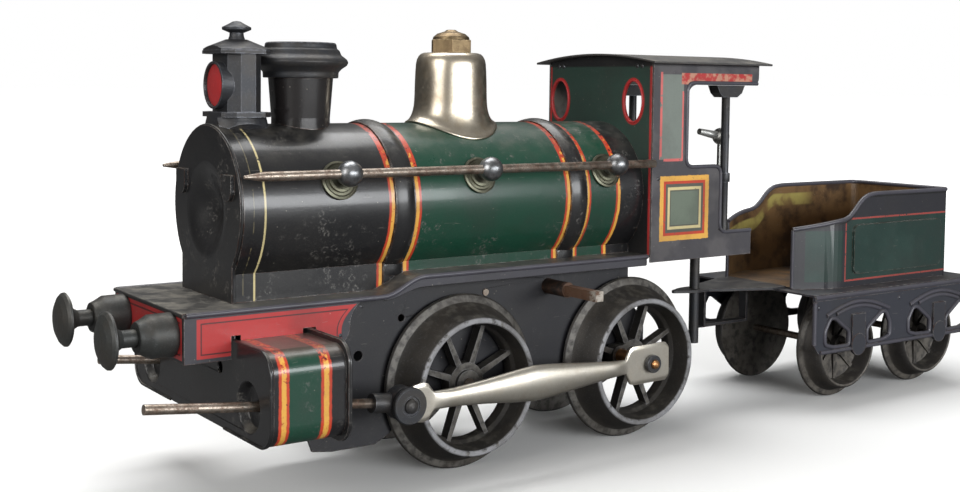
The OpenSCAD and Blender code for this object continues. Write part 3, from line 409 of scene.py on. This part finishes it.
def tender_paint(t):
    """Green outside with a red frame line, gold-brown lacquer inside."""
    ay = t.math("ABSOLUTE", t.y)
    c = t.mix(t.rise(t.noise(0.05, 3), 0.4, 0.62), (0.009, 0.030, 0.024), (0.016, 0.042, 0.034))
    wing_panel = t.rect(t.x, t.z, 137.0, 45.5, 154.4, 67.0)
    field = t.math("MAXIMUM", t.rect(t.x, t.z, *TENDER_PANEL), wing_panel)
    c = t.mix(field, (0.020, 0.020, 0.025), c)
    line = t.ring(t.x, t.z, *TENDER_PANEL, 0.75)
    line = t.mul(line, t.inv(t.rise(t.noise(0.5, 5), 0.60, 0.68)))
    side = t.rise(t.math("ABSOLUTE", t.ny), 0.8, 0.95)
    c = t.mix(t.mul(t.mul(line, side), 0.8), c, (0.40, 0.06, 0.05))
    wing = t.mul(t.math("SUBTRACT", t.math("MINIMUM", t.x, 156.0), TENDER_FRONT), 0.162)
    rim_line = t.add(t.add(67.6, wing), t.mul(t.rise(t.x, 156, 171), 10.4))
    rim = t.math("SUBTRACT", t.z, rim_line)
    c = t.mix(t.rise(rim, -1.8, -1.2), c, BLACK)
    cloud = t.rise(t.noise(0.06, 5, 0.65), 0.40, 0.62)
    lacquer = t.mix(cloud, GOLD_LACQUER, (0.035, 0.018, 0.010))
    left_in = t.mul(t.rise(t.noise(0.05, 4), 0.34, 0.48), t.rise(t.y, 10, 20))
    stripe = t.mul(t.band(rim, -9.5, -4.0, 0.5), left_in)
    stripe = t.mul(stripe, t.inv(t.rise(t.x, 186, 200)))
    lacquer = t.mix(stripe, lacquer, (0.36, 0.30, 0.085))
    inward = t.rise(t.math("MULTIPLY", t.mul(t.math("SIGN", t.y), t.ny), -1.0), 0.3, 0.6)
    end = t.mul(t.rise(t.math("MULTIPLY", t.nx, -1.0), 0.5, 0.8), t.rise(t.x, 220, 222))
    floor = t.mul(t.rise(t.nz, 0.8, 0.9), t.inv(t.rise(t.z, 45, 46)))
    faces = t.math("MAXIMUM", t.math("MAXIMUM", inward, end), floor)
    inner = t.mul(faces, t.inv(t.rise(ay, 27.2, 27.4)))
    return t.mix(inner, c, lacquer)


def deck_paint(t):
    """Black deck with a paler worn band along the turned-down edge."""
    flank = t.rise(t.math("ABSOLUTE", t.ny), 0.6, 0.9)
    low = t.mul(t.rise(t.math("ABSOLUTE", t.y), 28.2, 28.6), flank)
    top = t.mix(t.rise(t.nz, 0.5, 0.9), (0.014, 0.014, 0.015), (0.050, 0.048, 0.045))
    return t.mix(t.mul(low, t.rise(t.x, -75, -66)), top, (0.040, 0.039, 0.048))


def rubbed_face(t, clean, dark, pale):
    """Dark casting whose outward faces are rubbed paler in patches."""
    patches = t.rise(t.noise(0.35, 4), clean, 0.6)
    face = t.mul(t.rise(t.math("ABSOLUTE", t.ny), 0.75, 0.95), patches)
    return t.mix(t.mul(face, 0.8), dark, pale)


def wheel_paint(t):
    """Rubbed spoke faces and a bright lip round the tyre."""
    c = rubbed_face(t, 0.35, (0.034, 0.031, 0.028), (0.15, 0.14, 0.125))
    lip = t.rise(t.math("ABSOLUTE", t.y), 32.6, 33.2)
    return t.mix(t.mul(lip, t.rise(t.noise(0.4, 4), 0.30, 0.5)), c, (0.28, 0.28, 0.29))


def tender_wheel_paint(t):
    """Rubbed spoke faces, browner than the engine's."""
    return rubbed_face(t, 0.30, (0.030, 0.027, 0.025), (0.15, 0.135, 0.115))


def square_paint(t):
    """Blackened bush near the frame, rusted square beyond it, bright where the key rubs."""
    out = t.math("MULTIPLY", t.y, -1.0)
    c = t.mix(t.rise(out, 31.3, 31.8), (0.015, 0.014, 0.013), (0.15, 0.085, 0.055))
    rubbed = t.mul(t.rise(out, 43.5, 47.5), t.rise(t.noise(0.5, 4), 0.35, 0.55))
    return t.mix(rubbed, c, (0.50, 0.46, 0.40))


M = {
    "black": enamel("black_japan", BLACK, rough=0.27, spots=0.8, dust=0.75, wear=0.85, coat=0.3),
    "deck": enamel("deck_black", deck_paint, rough=0.36, spots=0.3, dust=1.0, wear=0.9, coat=0.1,
                   pits=0.8),
    "rim": enamel("worn_rim", MAUVE, rough=0.34, spots=0.1, dust=0.3, wear=0.8, coat=0.15,
                  pits=0.3),
    "frame": enamel("frame_black", (0.010, 0.010, 0.013), rough=0.40, spots=0.2, dust=0.3, wear=0.7,
                    coat=0.1),
    "boiler": enamel("boiler_lined", boiler_paint, rough=0.22, spots=0.75, dust=0.28, wear=0.9,
                     coat=0.35),
    "apron": enamel("apron_red", apron_paint, rough=0.34, spots=0.1, dust=0.2, wear=0.9, coat=0.15,
                    pits=0.4),
    "cab_front": enamel("cab_front_green", cab_front_paint, rough=0.40, spots=0.2, dust=0.3,
                        wear=0.8),
    "cab_side": enamel("cab_side_lined", cab_side_paint, rough=0.36, spots=0.15, dust=0.3, wear=0.9,
                       coat=0.15),
    "roof": enamel("roof_brown", (0.050, 0.048, 0.047), rough=0.45, spots=0.3, dust=0.8, wear=0.8,
                   coat=0.05),
    "cylinder": enamel("cylinder_lined", cylinder_paint, rough=0.24, spots=0.4, dust=0.5, wear=0.9,
                       coat=0.35),
    "tender": enamel("tender_green", tender_paint, rough=0.34, spots=0.1, dust=0.2, wear=0.85,
                     coat=0.2),
    "chassis": enamel("tender_frame_blue_grey", (0.028, 0.030, 0.040), rough=0.36, spots=0.1,
                      dust=0.4, wear=0.95, coat=0.1),
    "stack": enamel("stack_black", (0.016, 0.014, 0.014), rough=0.16, spots=0.35, dust=0.2,
                    wear=0.7, coat=0.5),
    "lens": enamel("lens_red", (0.44, 0.022, 0.024), rough=0.42, spots=0.1, dust=0.2, wear=0.3,
                   coat=0.1),
    "nickel": metal("nickel_plate", (0.58, 0.52, 0.42), rough=0.24, tarnish=(0.42, 0.32, 0.20),
                    stain=0.45, rust=0.12),
    "rod": metal("nickel_rod", (0.66, 0.62, 0.54), rough=0.28, tarnish=(0.45, 0.38, 0.28),
                 stain=0.35, rust=0.06),
    "steel": metal("old_steel", (0.36, 0.31, 0.26), rough=0.32, tarnish=(0.12, 0.08, 0.055),
                   stain=0.8, rust=0.6),
    "knob": metal("knob_steel", (0.30, 0.31, 0.32), rough=0.27, tarnish=(0.06, 0.06, 0.06),
                  stain=0.75, rust=0.15),
    "rosette": metal("rosette_brass", (0.15, 0.15, 0.11), rough=0.38, tarnish=(0.08, 0.07, 0.05),
                     stain=0.6, rust=0.1),
    "nut": metal("nut_brown", (0.22, 0.16, 0.09), rough=0.36, tarnish=(0.07, 0.05, 0.03), stain=0.6,
                 rust=0.2, bright=(0.45, 0.36, 0.22)),
    "brass": metal("brass_gear", (0.62, 0.42, 0.16), rough=0.30, tarnish=(0.22, 0.13, 0.05),
                   stain=0.5, rust=0.05),
    "copper": metal("pin_copper", (0.70, 0.36, 0.16), rough=0.26, tarnish=(0.25, 0.12, 0.05),
                    stain=0.4, rust=0.05),
    "spring": metal("blued_spring", (0.16, 0.19, 0.26), rough=0.28, tarnish=(0.06, 0.06, 0.07),
                    stain=0.5, rust=0.2),
    "rusty": metal("rusted_square", square_paint, rough=0.42, tarnish=(0.07, 0.035, 0.02),
                   stain=0.5, rust=0.35, full=0.5),
    "wheel": cast("wheel_casting", wheel_paint, (0.24, 0.24, 0.25), rough=0.44, full=0.30),
    "tender_wheel": cast("tender_wheel_casting", tender_wheel_paint, (0.22, 0.20, 0.18), rough=0.46,
                         full=0.25),
    "fitting": cast("grey_casting", (0.034, 0.036, 0.041), (0.26, 0.27, 0.30), rough=0.36,
                    full=0.45, grit=1.0),
    "buffer": cast("buffer_casting", (0.042, 0.044, 0.042), (0.20, 0.20, 0.20), rough=0.40,
                   full=0.45, grit=0.9),
    "lever": metal("lever_white_metal", (0.80, 0.80, 0.77), rough=0.38, tarnish=(0.30, 0.29, 0.26),
                   stain=0.4),
}

LOOKS = {
    "deck": ("footplate",),
    "apron": ("apron",),
    "frame": ("frame_left", "frame_right", "drawbar", "tender_hook"),
    "boiler": ("boiler",),
    "black": ("smokebox_front", "cylinder_front", "cylinder_rear"),
    "stack": ("chimney",),
    "fitting": ("chimney_cap", "lamp", "crosshead_left", "crosshead_right", "rod_disc_left",
                "rod_disc_right", "crank_collars", "cab_pillars", "draw_pin"),
    "lens": ("lamp_lens",),
    "nickel": ("dome",),
    "nut": ("dome_bolt",),
    "knob": ("rail_knobs",),
    "steel": ("handrails", "piston_left", "piston_right", "drive_axle", "front_axle",
              "tender_axle_front", "tender_axle_rear", "frame_pillars", "ratchet_wheel", "click"),
    "rosette": ("rail_rosettes",),
    "cab_front": ("cab_front",),
    "cab_side": ("cab_left", "cab_right"),
    "roof": ("cab_roof",),
    "lever": ("control_lever",),
    "cylinder": ("cylinder_left", "cylinder_right"),
    "rod": ("rod_left", "rod_right"),
    "copper": ("crank_pins",),
    "spring": ("mainspring",),
    "wheel": ("drive_wheels", "front_wheels"),
    "tender_wheel": ("tender_wheels_front", "tender_wheels_rear"),
    "rusty": ("winding_arbor",),
    "brass": ("great_wheel", "middle_wheel", "drive_pinion"),
    "buffer": ("buffer_stocks", "buffer_left", "buffer_right"),
    "tender": ("tender_body",),
    "chassis": ("tender_chassis",),
}
BEVELS = {
    0.1: ("handrails",),
    0.2: ("apron", "rod_disc_left", "rod_disc_right", "piston_left", "piston_right", "frame_left",
          "frame_right", "cab_front"),
    0.25: ("cab_left", "cab_right", "cab_pillars", "crank_collars", "drawbar"),
    0.3: ("smokebox_front", "chimney_cap", "cab_roof", "cylinder_front", "cylinder_rear",
          "rod_left", "rod_right", "crosshead_left", "crosshead_right", "drive_wheels",
          "front_wheels", "tender_wheels_front", "tender_wheels_rear", "winding_arbor",
          "buffer_stocks", "tender_chassis", "tender_hook"),
    0.35: ("footplate", "lamp"),
    0.5: ("dome_bolt",),
    0.8: ("tender_body",),
}
BEVEL = {name: width for width, names in BEVELS.items() for name in names}

# every CAD node takes its look, and most a small bevel (widths in mm)
for look, names in LOOKS.items():
    for name in names:
        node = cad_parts[name]
        node.data.materials.clear()
        node.data.materials.append(M[look])
        if name in BEVEL:
            weld = node.modifiers.new("weld", "WELD")
            weld.merge_threshold = 1e-6
            bevel = node.modifiers.new("bevel", "BEVEL")
            bevel.width = BEVEL[name] * MM
            bevel.segments = 2
            bevel.limit_method = "ANGLE"
            bevel.angle_limit = BEVEL_ANGLE
            bevel.harden_normals = True


# ---------------------------------------------------------------- mesh pieces
def new_object(name, verts, faces, look, body):
    """A piece from points in mm, smooth but for its sharp edges, riding on a CAD body."""
    mesh = bpy.data.meshes.new(name)
    mesh.from_pydata([tuple(c * MM for c in v) for v in verts], [], faces)
    mesh.validate()
    bm = bmesh.new()
    bm.from_mesh(mesh)
    bmesh.ops.recalc_face_normals(bm, faces=bm.faces)
    bm.to_mesh(mesh)
    bm.free()
    for face in mesh.polygons:
        face.use_smooth = True
    mesh.set_sharp_from_angle(angle=SHARP_ANGLE)
    mesh.materials.append(M[look])
    obj = bpy.data.objects.new(name, mesh)
    bpy.context.scene.collection.objects.link(obj)
    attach(obj, body)
    return obj


def sweep(paths, radius, sides):
    """Vertices and faces of round beads along paths of points; a path is (points, closed)."""
    verts, faces = [], []
    for points, closed in paths:
        pts = [Vector(p) for p in points]
        n = len(pts)
        base = len(verts)
        prev = None
        for i, p in enumerate(pts):
            before = pts[i - 1] if i or closed else p
            after = pts[(i + 1) % n] if i < n - 1 or closed else p
            along = (after - before).normalized()
            if prev is None:
                side = along.orthogonal().normalized()
            else:
                side = (prev - along * prev.dot(along)).normalized()
            prev = side
            other = along.cross(side)
            for k in range(sides):
                a = math.tau * k / sides
                verts.append(p + (side * math.cos(a) + other * math.sin(a)) * radius)
        for i in range(n if closed else n - 1):
            j = (i + 1) % n
            twist = 0
            if j == 0:
                first = verts[base] - pts[0]
                last = [v - pts[i] for v in verts[base + i * sides:base + (i + 1) * sides]]
                twist = min(range(sides), key=lambda k: (last[k] - first).length)
            for k in range(sides):
                a = base + i * sides + (k + twist) % sides
                b = base + i * sides + (k + 1 + twist) % sides
                faces.append((a, b, base + j * sides + (k + 1) % sides, base + j * sides + k))
        if not closed:
            faces.append(tuple(base + k for k in range(sides)))
            faces.append(tuple(base + (n - 1) * sides + k for k in range(sides)))
    return verts, faces


def soften(points, r, steps):
    """Open path with its inner corners rounded by r."""
    pts = [Vector(p) for p in points]
    out = [pts[0]]
    for a, b, c in zip(pts, pts[1:], pts[2:]):
        d = min(r, (a - b).length / 2.2, (c - b).length / 2.2)
        p0, p1 = b + (a - b).normalized() * d, b + (c - b).normalized() * d
        for i in range(steps + 1):
            t = i / steps
            out.append(p0.lerp(b, t).lerp(b.lerp(p1, t), t))
    return out + [pts[-1]]


def dome_stud(at, axis, r, h, verts, faces, rings=4, sides=14):
    """Adds a low rivet head to the lists, closed underneath."""
    axis = Vector(axis).normalized()
    u = axis.orthogonal().normalized()
    v = axis.cross(u)
    base = len(verts)
    at = Vector(at)
    for i in range(rings):
        a = math.pi / 2 * i / rings
        for k in range(sides):
            b = math.tau * k / sides
            out = (u * math.cos(b) + v * math.sin(b)) * r * math.cos(a)
            verts.append(at + out + axis * h * math.sin(a))
    verts.append(at + axis * h)
    top = len(verts) - 1
    for i in range(rings - 1):
        for k in range(sides):
            a, b = base + i * sides + k, base + i * sides + (k + 1) % sides
            faces.append((a, b, b + sides, a + sides))
    for k in range(sides):
        a = base + (rings - 1) * sides
        faces.append((a + k, a + (k + 1) % sides, top))
    faces.append(tuple(base + k for k in range(sides)))


def mirrored(paths):
    """The paths and their copies on the other side of the row's middle plane."""
    return paths + [([(p[0], -p[1], p[2]) for p in points], closed) for points, closed in paths]


def step_height(x):
    """Top of the footplate, low in front and raised behind the cylinders."""
    t = min(max((x + 72) / 15, 0), 1)
    return 58.9 + 5.4 * (3 * t * t - 2 * t ** 3)


# rolled rim along the footplate, the cab openings and the boiler's front seam
rim_x = [-139.0 + i * 2.0 for i in range(91)]
rim = [(x, -FOOTPLATE_Y, step_height(x) - 0.55) for x in rim_x]
v, f = sweep(mirrored([(rim, False)]), 0.85, 10)
new_object("footplate_rim", v, f, "rim", "loco")

front_rim = [(-139.45, -29.0 + i * 2.0, 58.4) for i in range(30)]
v, f = sweep([(front_rim, False)], 0.7, 10)
new_object("beam_rim", v, f, "deck", "loco")

opening = [(93.3, 71.0), (76.4, 71.0), (76.4, 96.6), (58.0, 96.6), (58.0, 128.2), (95.5, 128.2)]
opening = soften([(x, -CAB_Y, z) for x, z in opening], 3.6, 6)
v, f = sweep(mirrored([(opening, False)]), 0.75, 10)
new_object("cab_opening_bead", v, f, "rim", "loco")

seam = [(-19.5, 59.2), (-19.5, 66)]
for i in range(41):
    a = math.radians(-41.3 + i * 262.6 / 40)
    seam.append((-SEAM_R * math.cos(a), SEAM_Z + SEAM_R * math.sin(a)))
seam += [(19.5, 66), (19.5, 59.2)]
v, f = sweep([([(SEAM_X, y, z) for y, z in seam], False)], 0.5, 8)
new_object("smokebox_seam", v, f, "black", "loco")


def arch_line(count=44):
    """Points and outward normals (y, z, ny, nz) over the boiler, from skirt to skirt."""
    kink = math.acos(SKIRT_Y / BOILER_R)
    half = []
    for i in range(4):
        half.append((-SKIRT_Y, 63.2 + i * 1.3, -1.0, 0.0))
    for i in range(count + 1):
        a = math.pi + kink - (math.pi / 2 + kink) * i / count
        ny, nz = math.cos(a), math.sin(a)
        half.append((BOILER_R * ny, BOILER_Z + BOILER_R * nz, ny, nz))
    return half + [(-y, z, -ny, nz) for y, z, ny, nz in reversed(half[:-1])]


# two pressed ribs round the boiler, between its painted lines
v, f = [], []
line = arch_line()
row = RIB_STEPS + 1
for x0 in RIB_STARTS:
    base = len(v)
    for y, z, ny, nz in line:
        for k in range(row):
            q = k / RIB_STEPS
            h = 0.3 + RIB_HEIGHT * math.sin(math.pi * q) ** 0.8
            if z < 64.5:
                h *= 0.6
            v.append((x0 + 0.15 + RIB_WIDTH * q, y + ny * h, z + nz * h))
    for i in range(len(line) - 1):
        a = base + i * row
        for k in range(RIB_STEPS):
            f.append((a + k, a + k + 1, a + k + 1 + row, a + k + row))
        f.append((a + RIB_STEPS, a, a + row, a + RIB_STEPS + row))
    f.append(tuple(base + k for k in range(row)))
    f.append(tuple(len(v) - row + k for k in range(row)))
new_object("boiler_ribs", v, f, "black", "loco")

# spun dome with its flange drawn down over the boiler
v, f = [], []
DOME_X, DOME_SIDES = -27.9, 96
flange = [(16.5, 0.15), (16.6, 0.55), (16.3, 0.95), (15.7, 1.25), (15.1, 1.7), (14.6, 2.3),
          (14.1, 3.1), (13.7, 4.1), (13.35, 5.3), (13.1, 6.6), (12.95, 8.2)]
body = [(12.85, 122.5), (12.75, 127), (12.6, 131), (12.4, 133.8), (12.1, 135.2), (11.5, 136.4),
        (10.7, 137.2), (9.7, 137.6), (8.4, 137.62), (3.3, 137.62)]
for k in range(DOME_SIDES):
    a = math.tau * k / DOME_SIDES
    for r, h in flange:
        y = r * math.sin(a)
        ground = BOILER_Z + math.sqrt(BOILER_R ** 2 - y * y)
        v.append((DOME_X + r * math.cos(a), y, ground + h))
    for r, z in body:
        v.append((DOME_X + r * math.cos(a), r * math.sin(a), z))
size = len(flange) + len(body)
for k in range(DOME_SIDES):
    for i in range(size - 1):
        a, b = k * size + i, ((k + 1) % DOME_SIDES) * size + i
        f.append((a, b, b + 1, a + 1))
dome = new_object("dome_shell", v, f, "nickel", "loco")
wall_thickness = dome.modifiers.new("wall", "SOLIDIFY")
wall_thickness.thickness = 0.6 * MM
wall_thickness.offset = -1
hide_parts("dome")

# connecting rods with a rounded, pressed spine: distance from the crosshead pivot, half width
ROD = [(0.3, 4.6), (2.4, 5.8), (5.6, 6.3), (7.6, 5.8), (9.8, 2.9), (18, 3.0), (30, 4.0),
       (42, 5.3), (50, 6.0), (56, 5.7), (70, 4.3), (84, 2.9), (90.5, 2.5), (92.7, 6.4),
       (94.2, 6.9), (109.4, 6.9), (110.8, 5.5)]
EXTRA = (1, 3.5, 8.2, 9, 91.2, 92)
ACROSS = [-1, -0.96, -0.88, -0.76, -0.6, -0.4, -0.2, 0, 0.2, 0.4, 0.6, 0.76, 0.88, 0.96, 1]
# side, sign of y, crosshead pivot (x, z), crank pin (x, z)
RODS = (("left", -1, (-71.5, 26.1), (30.8059, 27.5466)),
        ("right", 1, (-58.115, 24.6459), (44.1941, 23.4534)))


def ease(v, lo, hi):
    """0 below lo, 1 above hi, smooth between."""
    t = min(max((v - lo) / (hi - lo), 0), 1)
    return t * t * (3 - 2 * t)


def read_table(table, u):
    """Straight-line value of a table of (position, value) at u."""
    for (u0, w0), (u1, w1) in zip(table, table[1:]):
        if u <= u1:
            return w0 + (w1 - w0) * max(0, u - u0) / (u1 - u0)
    return table[-1][1]


def spine_height(u):
    """Rise of the pressed spine above the rod's face, highest at mid length."""
    present = ease(u, 8.5, 14) * (1 - ease(u, 85, 91.5))
    return present * (0.9 + 0.9 * ease(u, 10, 50) * (1 - ease(u, 50, 92)))


stations = sorted({p[0] for p in ROD} | {10 + i * 2.0 for i in range(40)} | set(EXTRA))
for name, s, c, p in RODS:
    tilt = math.atan2(p[1] - c[1], p[0] - c[0])
    v, f = [], []
    for u in stations:
        half, spine = read_table(ROD, u), spine_height(u)
        loop = []
        for q in ACROSS:
            rounding = 0.3 * ease(abs(q), 0.85, 1.0)
            loop.append((half * q, ROD_FACE + spine * (1 - q * q) ** 0.75 - rounding))
        for w, y in loop + [(half, ROD_BACK), (-half, ROD_BACK)]:
            v.append((c[0] + u * math.cos(tilt) - w * math.sin(tilt), s * y,
                      c[1] + u * math.sin(tilt) + w * math.cos(tilt)))
    n = len(ACROSS) + 2
    for i in range(len(stations) - 1):
        for k in range(n):
            a, b = i * n + k, i * n + (k + 1) % n
            f.append((a, b, b + n, a + n))
    f.append(tuple(range(n)))
    f.append(tuple(range(len(v) - n, len(v))))
    rod = new_object("rod_shape_" + name, v, f, "rod", "con_rod_" + name)
    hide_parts("rod_" + name)

# red beads round the front windows
rings = []
for y in (WINDOW_MID - WINDOW_HALF, WINDOW_MID + WINDOW_HALF):
    oval = []
    for i in range(48):
        a = math.tau * i / 48
        oval.append((40.85, y + 5.2 * math.cos(a), WINDOW_Z + 7.8 * math.sin(a)))
    rings.append((oval, True))
v, f = sweep(rings, 0.38, 8)
new_object("window_beads", v, f, "lens", "loco")

# rivets of the cab roof, frames and cylinder plates
v, f = [], []
for y in (-24.5, -21.8, 21.8, 24.5):
    dome_stud((40.9, y, 134.2), (-1, 0, 0), 0.9, 0.5, v, f)
for s in (-1, 1):
    for x, y, z in ((-80.5, 29.1, 56.0), (-88.0, 29.1, 47.5), (44.0, 30.9, 92.5)):
        dome_stud((x, s * y, z), (0, s, 0), 0.7, 0.4, v, f)
    for x, z in ((-84.0, 15.0), (8.0, 24.5), (-88.0, 46.0)):
        dome_stud((x, s * 20.3, z), (0, s, 0), 1.9, 0.9, v, f)
new_object("rivets", v, f, "fitting", "loco")

# raised edge round the front and rear plates of the cylinder blocks; grow is their overhang
plates = []
PLATE_R = 7
for x, grow in ((-123.7, -0.3), (-98.5, 0.7)):
    top, foot = CYLINDER_TOP + grow, CYLINDER_FOOT - grow
    cy = CYLINDER_REACH + grow - PLATE_R
    for s in (-1, 1):
        pts = [(x, s * 29.5, top)]
        for cz, a0 in ((top - PLATE_R, 0), (foot + PLATE_R, -90)):
            for i in range(9):
                a = math.radians(a0 + 90 - i * 90 / 8)
                pts.append((x, s * (cy + PLATE_R * math.cos(a)), cz + PLATE_R * math.sin(a)))
        plates.append((pts + [(x, s * 21.5, foot)], False))
v, f = sweep(plates, 0.45, 8)
new_object("cylinder_plate_beads", v, f, "black", "loco")

# ---------------------------------------------------------------- tender pieces
# top of the tank walls: x, z
TOP = [(TENDER_FRONT, 67.6), (140, 68.9), (150, 70.6), (156, 71.4), (159, 72.6), (162, 75),
       (165, 78), (168, 80.2), (171.5, 81.4), (176, 81.8), (227.9, 81.8)]


def near_wall(d=0.4):
    """The left wall seen from above, d inside its outer face, from wing to rear corner."""
    pts = []
    for i in range(21):
        q = i / 20
        pts.append((TENDER_FRONT + 21 * q, -(TENDER_SIDE - 8.0 * (1 - q) ** 1.6 - d)))
    pts += [(153.5 + i * 1.75, -TENDER_SIDE + d) for i in range(1, 40)]
    for i in range(9):
        a = math.radians(-90 + i * 90 / 8)
        pts.append((223.9 + (4 - d) * math.cos(a), -22.9 + (4 - d) * math.sin(a)))
    return pts


# rolled rim on the tank walls and along the front edges of the wings
near = near_wall()
outline = near + [(x, -y) for x, y in reversed(near)]
bead = [(x, y, read_table(TOP, x)) for x, y in outline]
v, f = sweep([(bead, False)], 0.95, 10)
new_object("tender_rim", v, f, "rim", "tender")

ends = [([(TENDER_FRONT, s * 18.5, z) for z in (43.0, 50, 56, 62, 67.3)], False) for s in (-1, 1)]
v, f = sweep(ends, 0.75, 10)
new_object("tender_wing_edges", v, f, "rim", "tender")

# pressed ribs of the side frames: round each opening, over each axle, along the borders
HOLE = ((6.5, 20.6), (15, 20.6), (20.4, 22), (20.4, 27), (17.5, 31.6), (15, 31.6), (6.5, 26))
ribs = []
for c in TENDER_AXLES:
    for s in (-1, 1):
        hole = [(c + s * x, z) for x, z in HOLE]
        mx, mz = (sum(p[i] for p in hole) / len(hole) for i in (0, 1))
        grown = [(x + (x - mx) * 0.10, -TENDER_FRAME_Y, z + (z - mz) * 0.12) for x, z in hole]
        ribs.append((soften(grown + grown[:2], 1.6, 3)[3:-1], True))
    arch = []
    for i in range(0, 41, 2):
        arch.append((c - 20 + i, -TENDER_FRAME_Y, 33.5 + 4.6 * math.sin(math.pi * i / 40)))
    ribs.append((arch, False))
    ribs.append(([(x, y, z - 1.9) for x, y, z in arch[3:-3]], False))
for x in (127.9, 236.6):
    ribs.append(([(x, -TENDER_FRAME_Y, z) for z in (22.2, 28, 34, 39.6)], False))
ribs.append(([(128.0 + i * 6.03, -35.2, 41.3) for i in range(19)], False))
ribs.append(([(131.5 + i * 6.35, -TENDER_FRAME_Y, 18.5) for i in range(17)], False))
v, f = sweep(mirrored(ribs), 0.9, 8)
new_object("tender_frame_ribs", v, f, "rim", "tender")

# rivets that hold the frames to the deck
v, f = [], []
for s in (-1, 1):
    for x in (130.5, 182.5, 234.5):
        dome_stud((x, s * 34.95, 37.2), (0, s, 0), 1.0, 0.6, v, f)
new_object("tender_rivets", v, f, "chassis", "tender")

# ---------------------------------------------------------------- stage, light and camera
# the floor is pale near the object and fades to the white of the background for the camera
floor_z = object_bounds()[0][2] - 0.2 * MM
bpy.ops.mesh.primitive_plane_add(size=60, location=(0.05, 0, floor_z))
floor = bpy.context.object
floor.name = "floor"
ft = Tree("floor_pale")
away = ft.math("SQRT", ft.add(ft.mul(ft.x, ft.x), ft.mul(ft.y, ft.y)))
ft.put(ft.bsdf.inputs["Emission Color"], (1.0, 1.0, 1.0))
seen = ft.nodes.new("ShaderNodeLightPath").outputs["Is Camera Ray"]
ft.put(ft.bsdf.inputs["Emission Strength"], ft.mul(ft.mul(ft.rise(away, 150, 1200), 0.78), seen))
pale = ft.mix(seen, (0.14, 0.14, 0.14), (0.90, 0.90, 0.89))
floor.data.materials.append(ft.finish(pale, 0.7, 0.0, 0.0, 0.1))


def softbox(name, place, size, power, colour=(1, 1, 1)):
    """A rectangular lamp facing the middle of the row."""
    light = bpy.data.lights.new(name, "AREA")
    light.shape = "RECTANGLE"
    light.size, light.size_y = size
    light.energy = power
    light.color = colour
    obj = bpy.data.objects.new(name, light)
    obj.location = place
    facing = Vector((0.04, 0, 0.06)) - Vector(place)
    obj.rotation_euler = facing.to_track_quat("-Z", "Y").to_euler()
    bpy.context.scene.collection.objects.link(obj)


softbox("window", (0.10, -1.5, 0.34), (1.7, 0.42), 25, (0.96, 0.98, 1.0))
softbox("front_fill", (-1.5, -0.4, 0.6), (0.9, 0.9), 13, (1.0, 0.98, 0.95))
softbox("overhead", (0.1, 0.5, 1.6), (1.6, 1.0), 26)

# the surroundings brighten upwards as a light source and are white for the camera
world = bpy.data.worlds.new("studio")
world.use_nodes = True
wn, wl = world.node_tree.nodes, world.node_tree.links
back = wn["Background"]
back.inputs["Color"].default_value = (1, 1, 1, 1)
path = wn.new("ShaderNodeLightPath")
ray = wn.new("ShaderNodeTexCoord")
height = wn.new("ShaderNodeSeparateXYZ")
wl.new(ray.outputs["Generated"], height.inputs[0])
glow = wn.new("ShaderNodeMapRange")
glow.interpolation_type = "SMOOTHSTEP"
wl.new(height.outputs["Z"], glow.inputs["Value"])
glow.inputs["From Min"].default_value = 0.05
glow.inputs["From Max"].default_value = 0.95
glow.inputs["To Min"].default_value = 0.06
glow.inputs["To Max"].default_value = 0.34
seen = wn.new("ShaderNodeMix")
wl.new(path.outputs["Is Camera Ray"], seen.inputs[0])
wl.new(glow.outputs["Result"], seen.inputs[2])
seen.inputs[3].default_value = 1.0
wl.new(seen.outputs[0], back.inputs["Strength"])
bpy.context.scene.world = world
bpy.context.scene.view_settings.view_transform = "Standard"

# camera fitted to the reference view of 960 x 492 pixels
WIDTH, HEIGHT, SENSOR = 960, 492, 36
FOCAL, CENTRE_ROW = 1279.758, 160.13
EYE = (-0.281155, -0.378544, 0.125645)
AZ, EL, ROLL = (math.radians(a) for a in (-35.1302, 3.2608, 0.6426))
behind = Vector((math.sin(AZ) * math.cos(EL), -math.cos(AZ) * math.cos(EL), math.sin(EL)))
right = Vector((0, 0, 1)).cross(behind).normalized()
up = behind.cross(right)
right, up = (right * math.cos(ROLL) + up * math.sin(ROLL),
             up * math.cos(ROLL) - right * math.sin(ROLL))
cam = bpy.data.cameras.new("camera")
cam.sensor_width = SENSOR
cam.lens = FOCAL * SENSOR / WIDTH
cam.shift_y = (CENTRE_ROW - HEIGHT / 2) / WIDTH
cam.clip_start = 0.01
eye = bpy.data.objects.new("camera", cam)
turn = Matrix((right, up, behind)).transposed().to_4x4()
eye.matrix_world = Matrix.Translation(EYE) @ turn
bpy.context.scene.collection.objects.link(eye)
bpy.context.scene.camera = eye
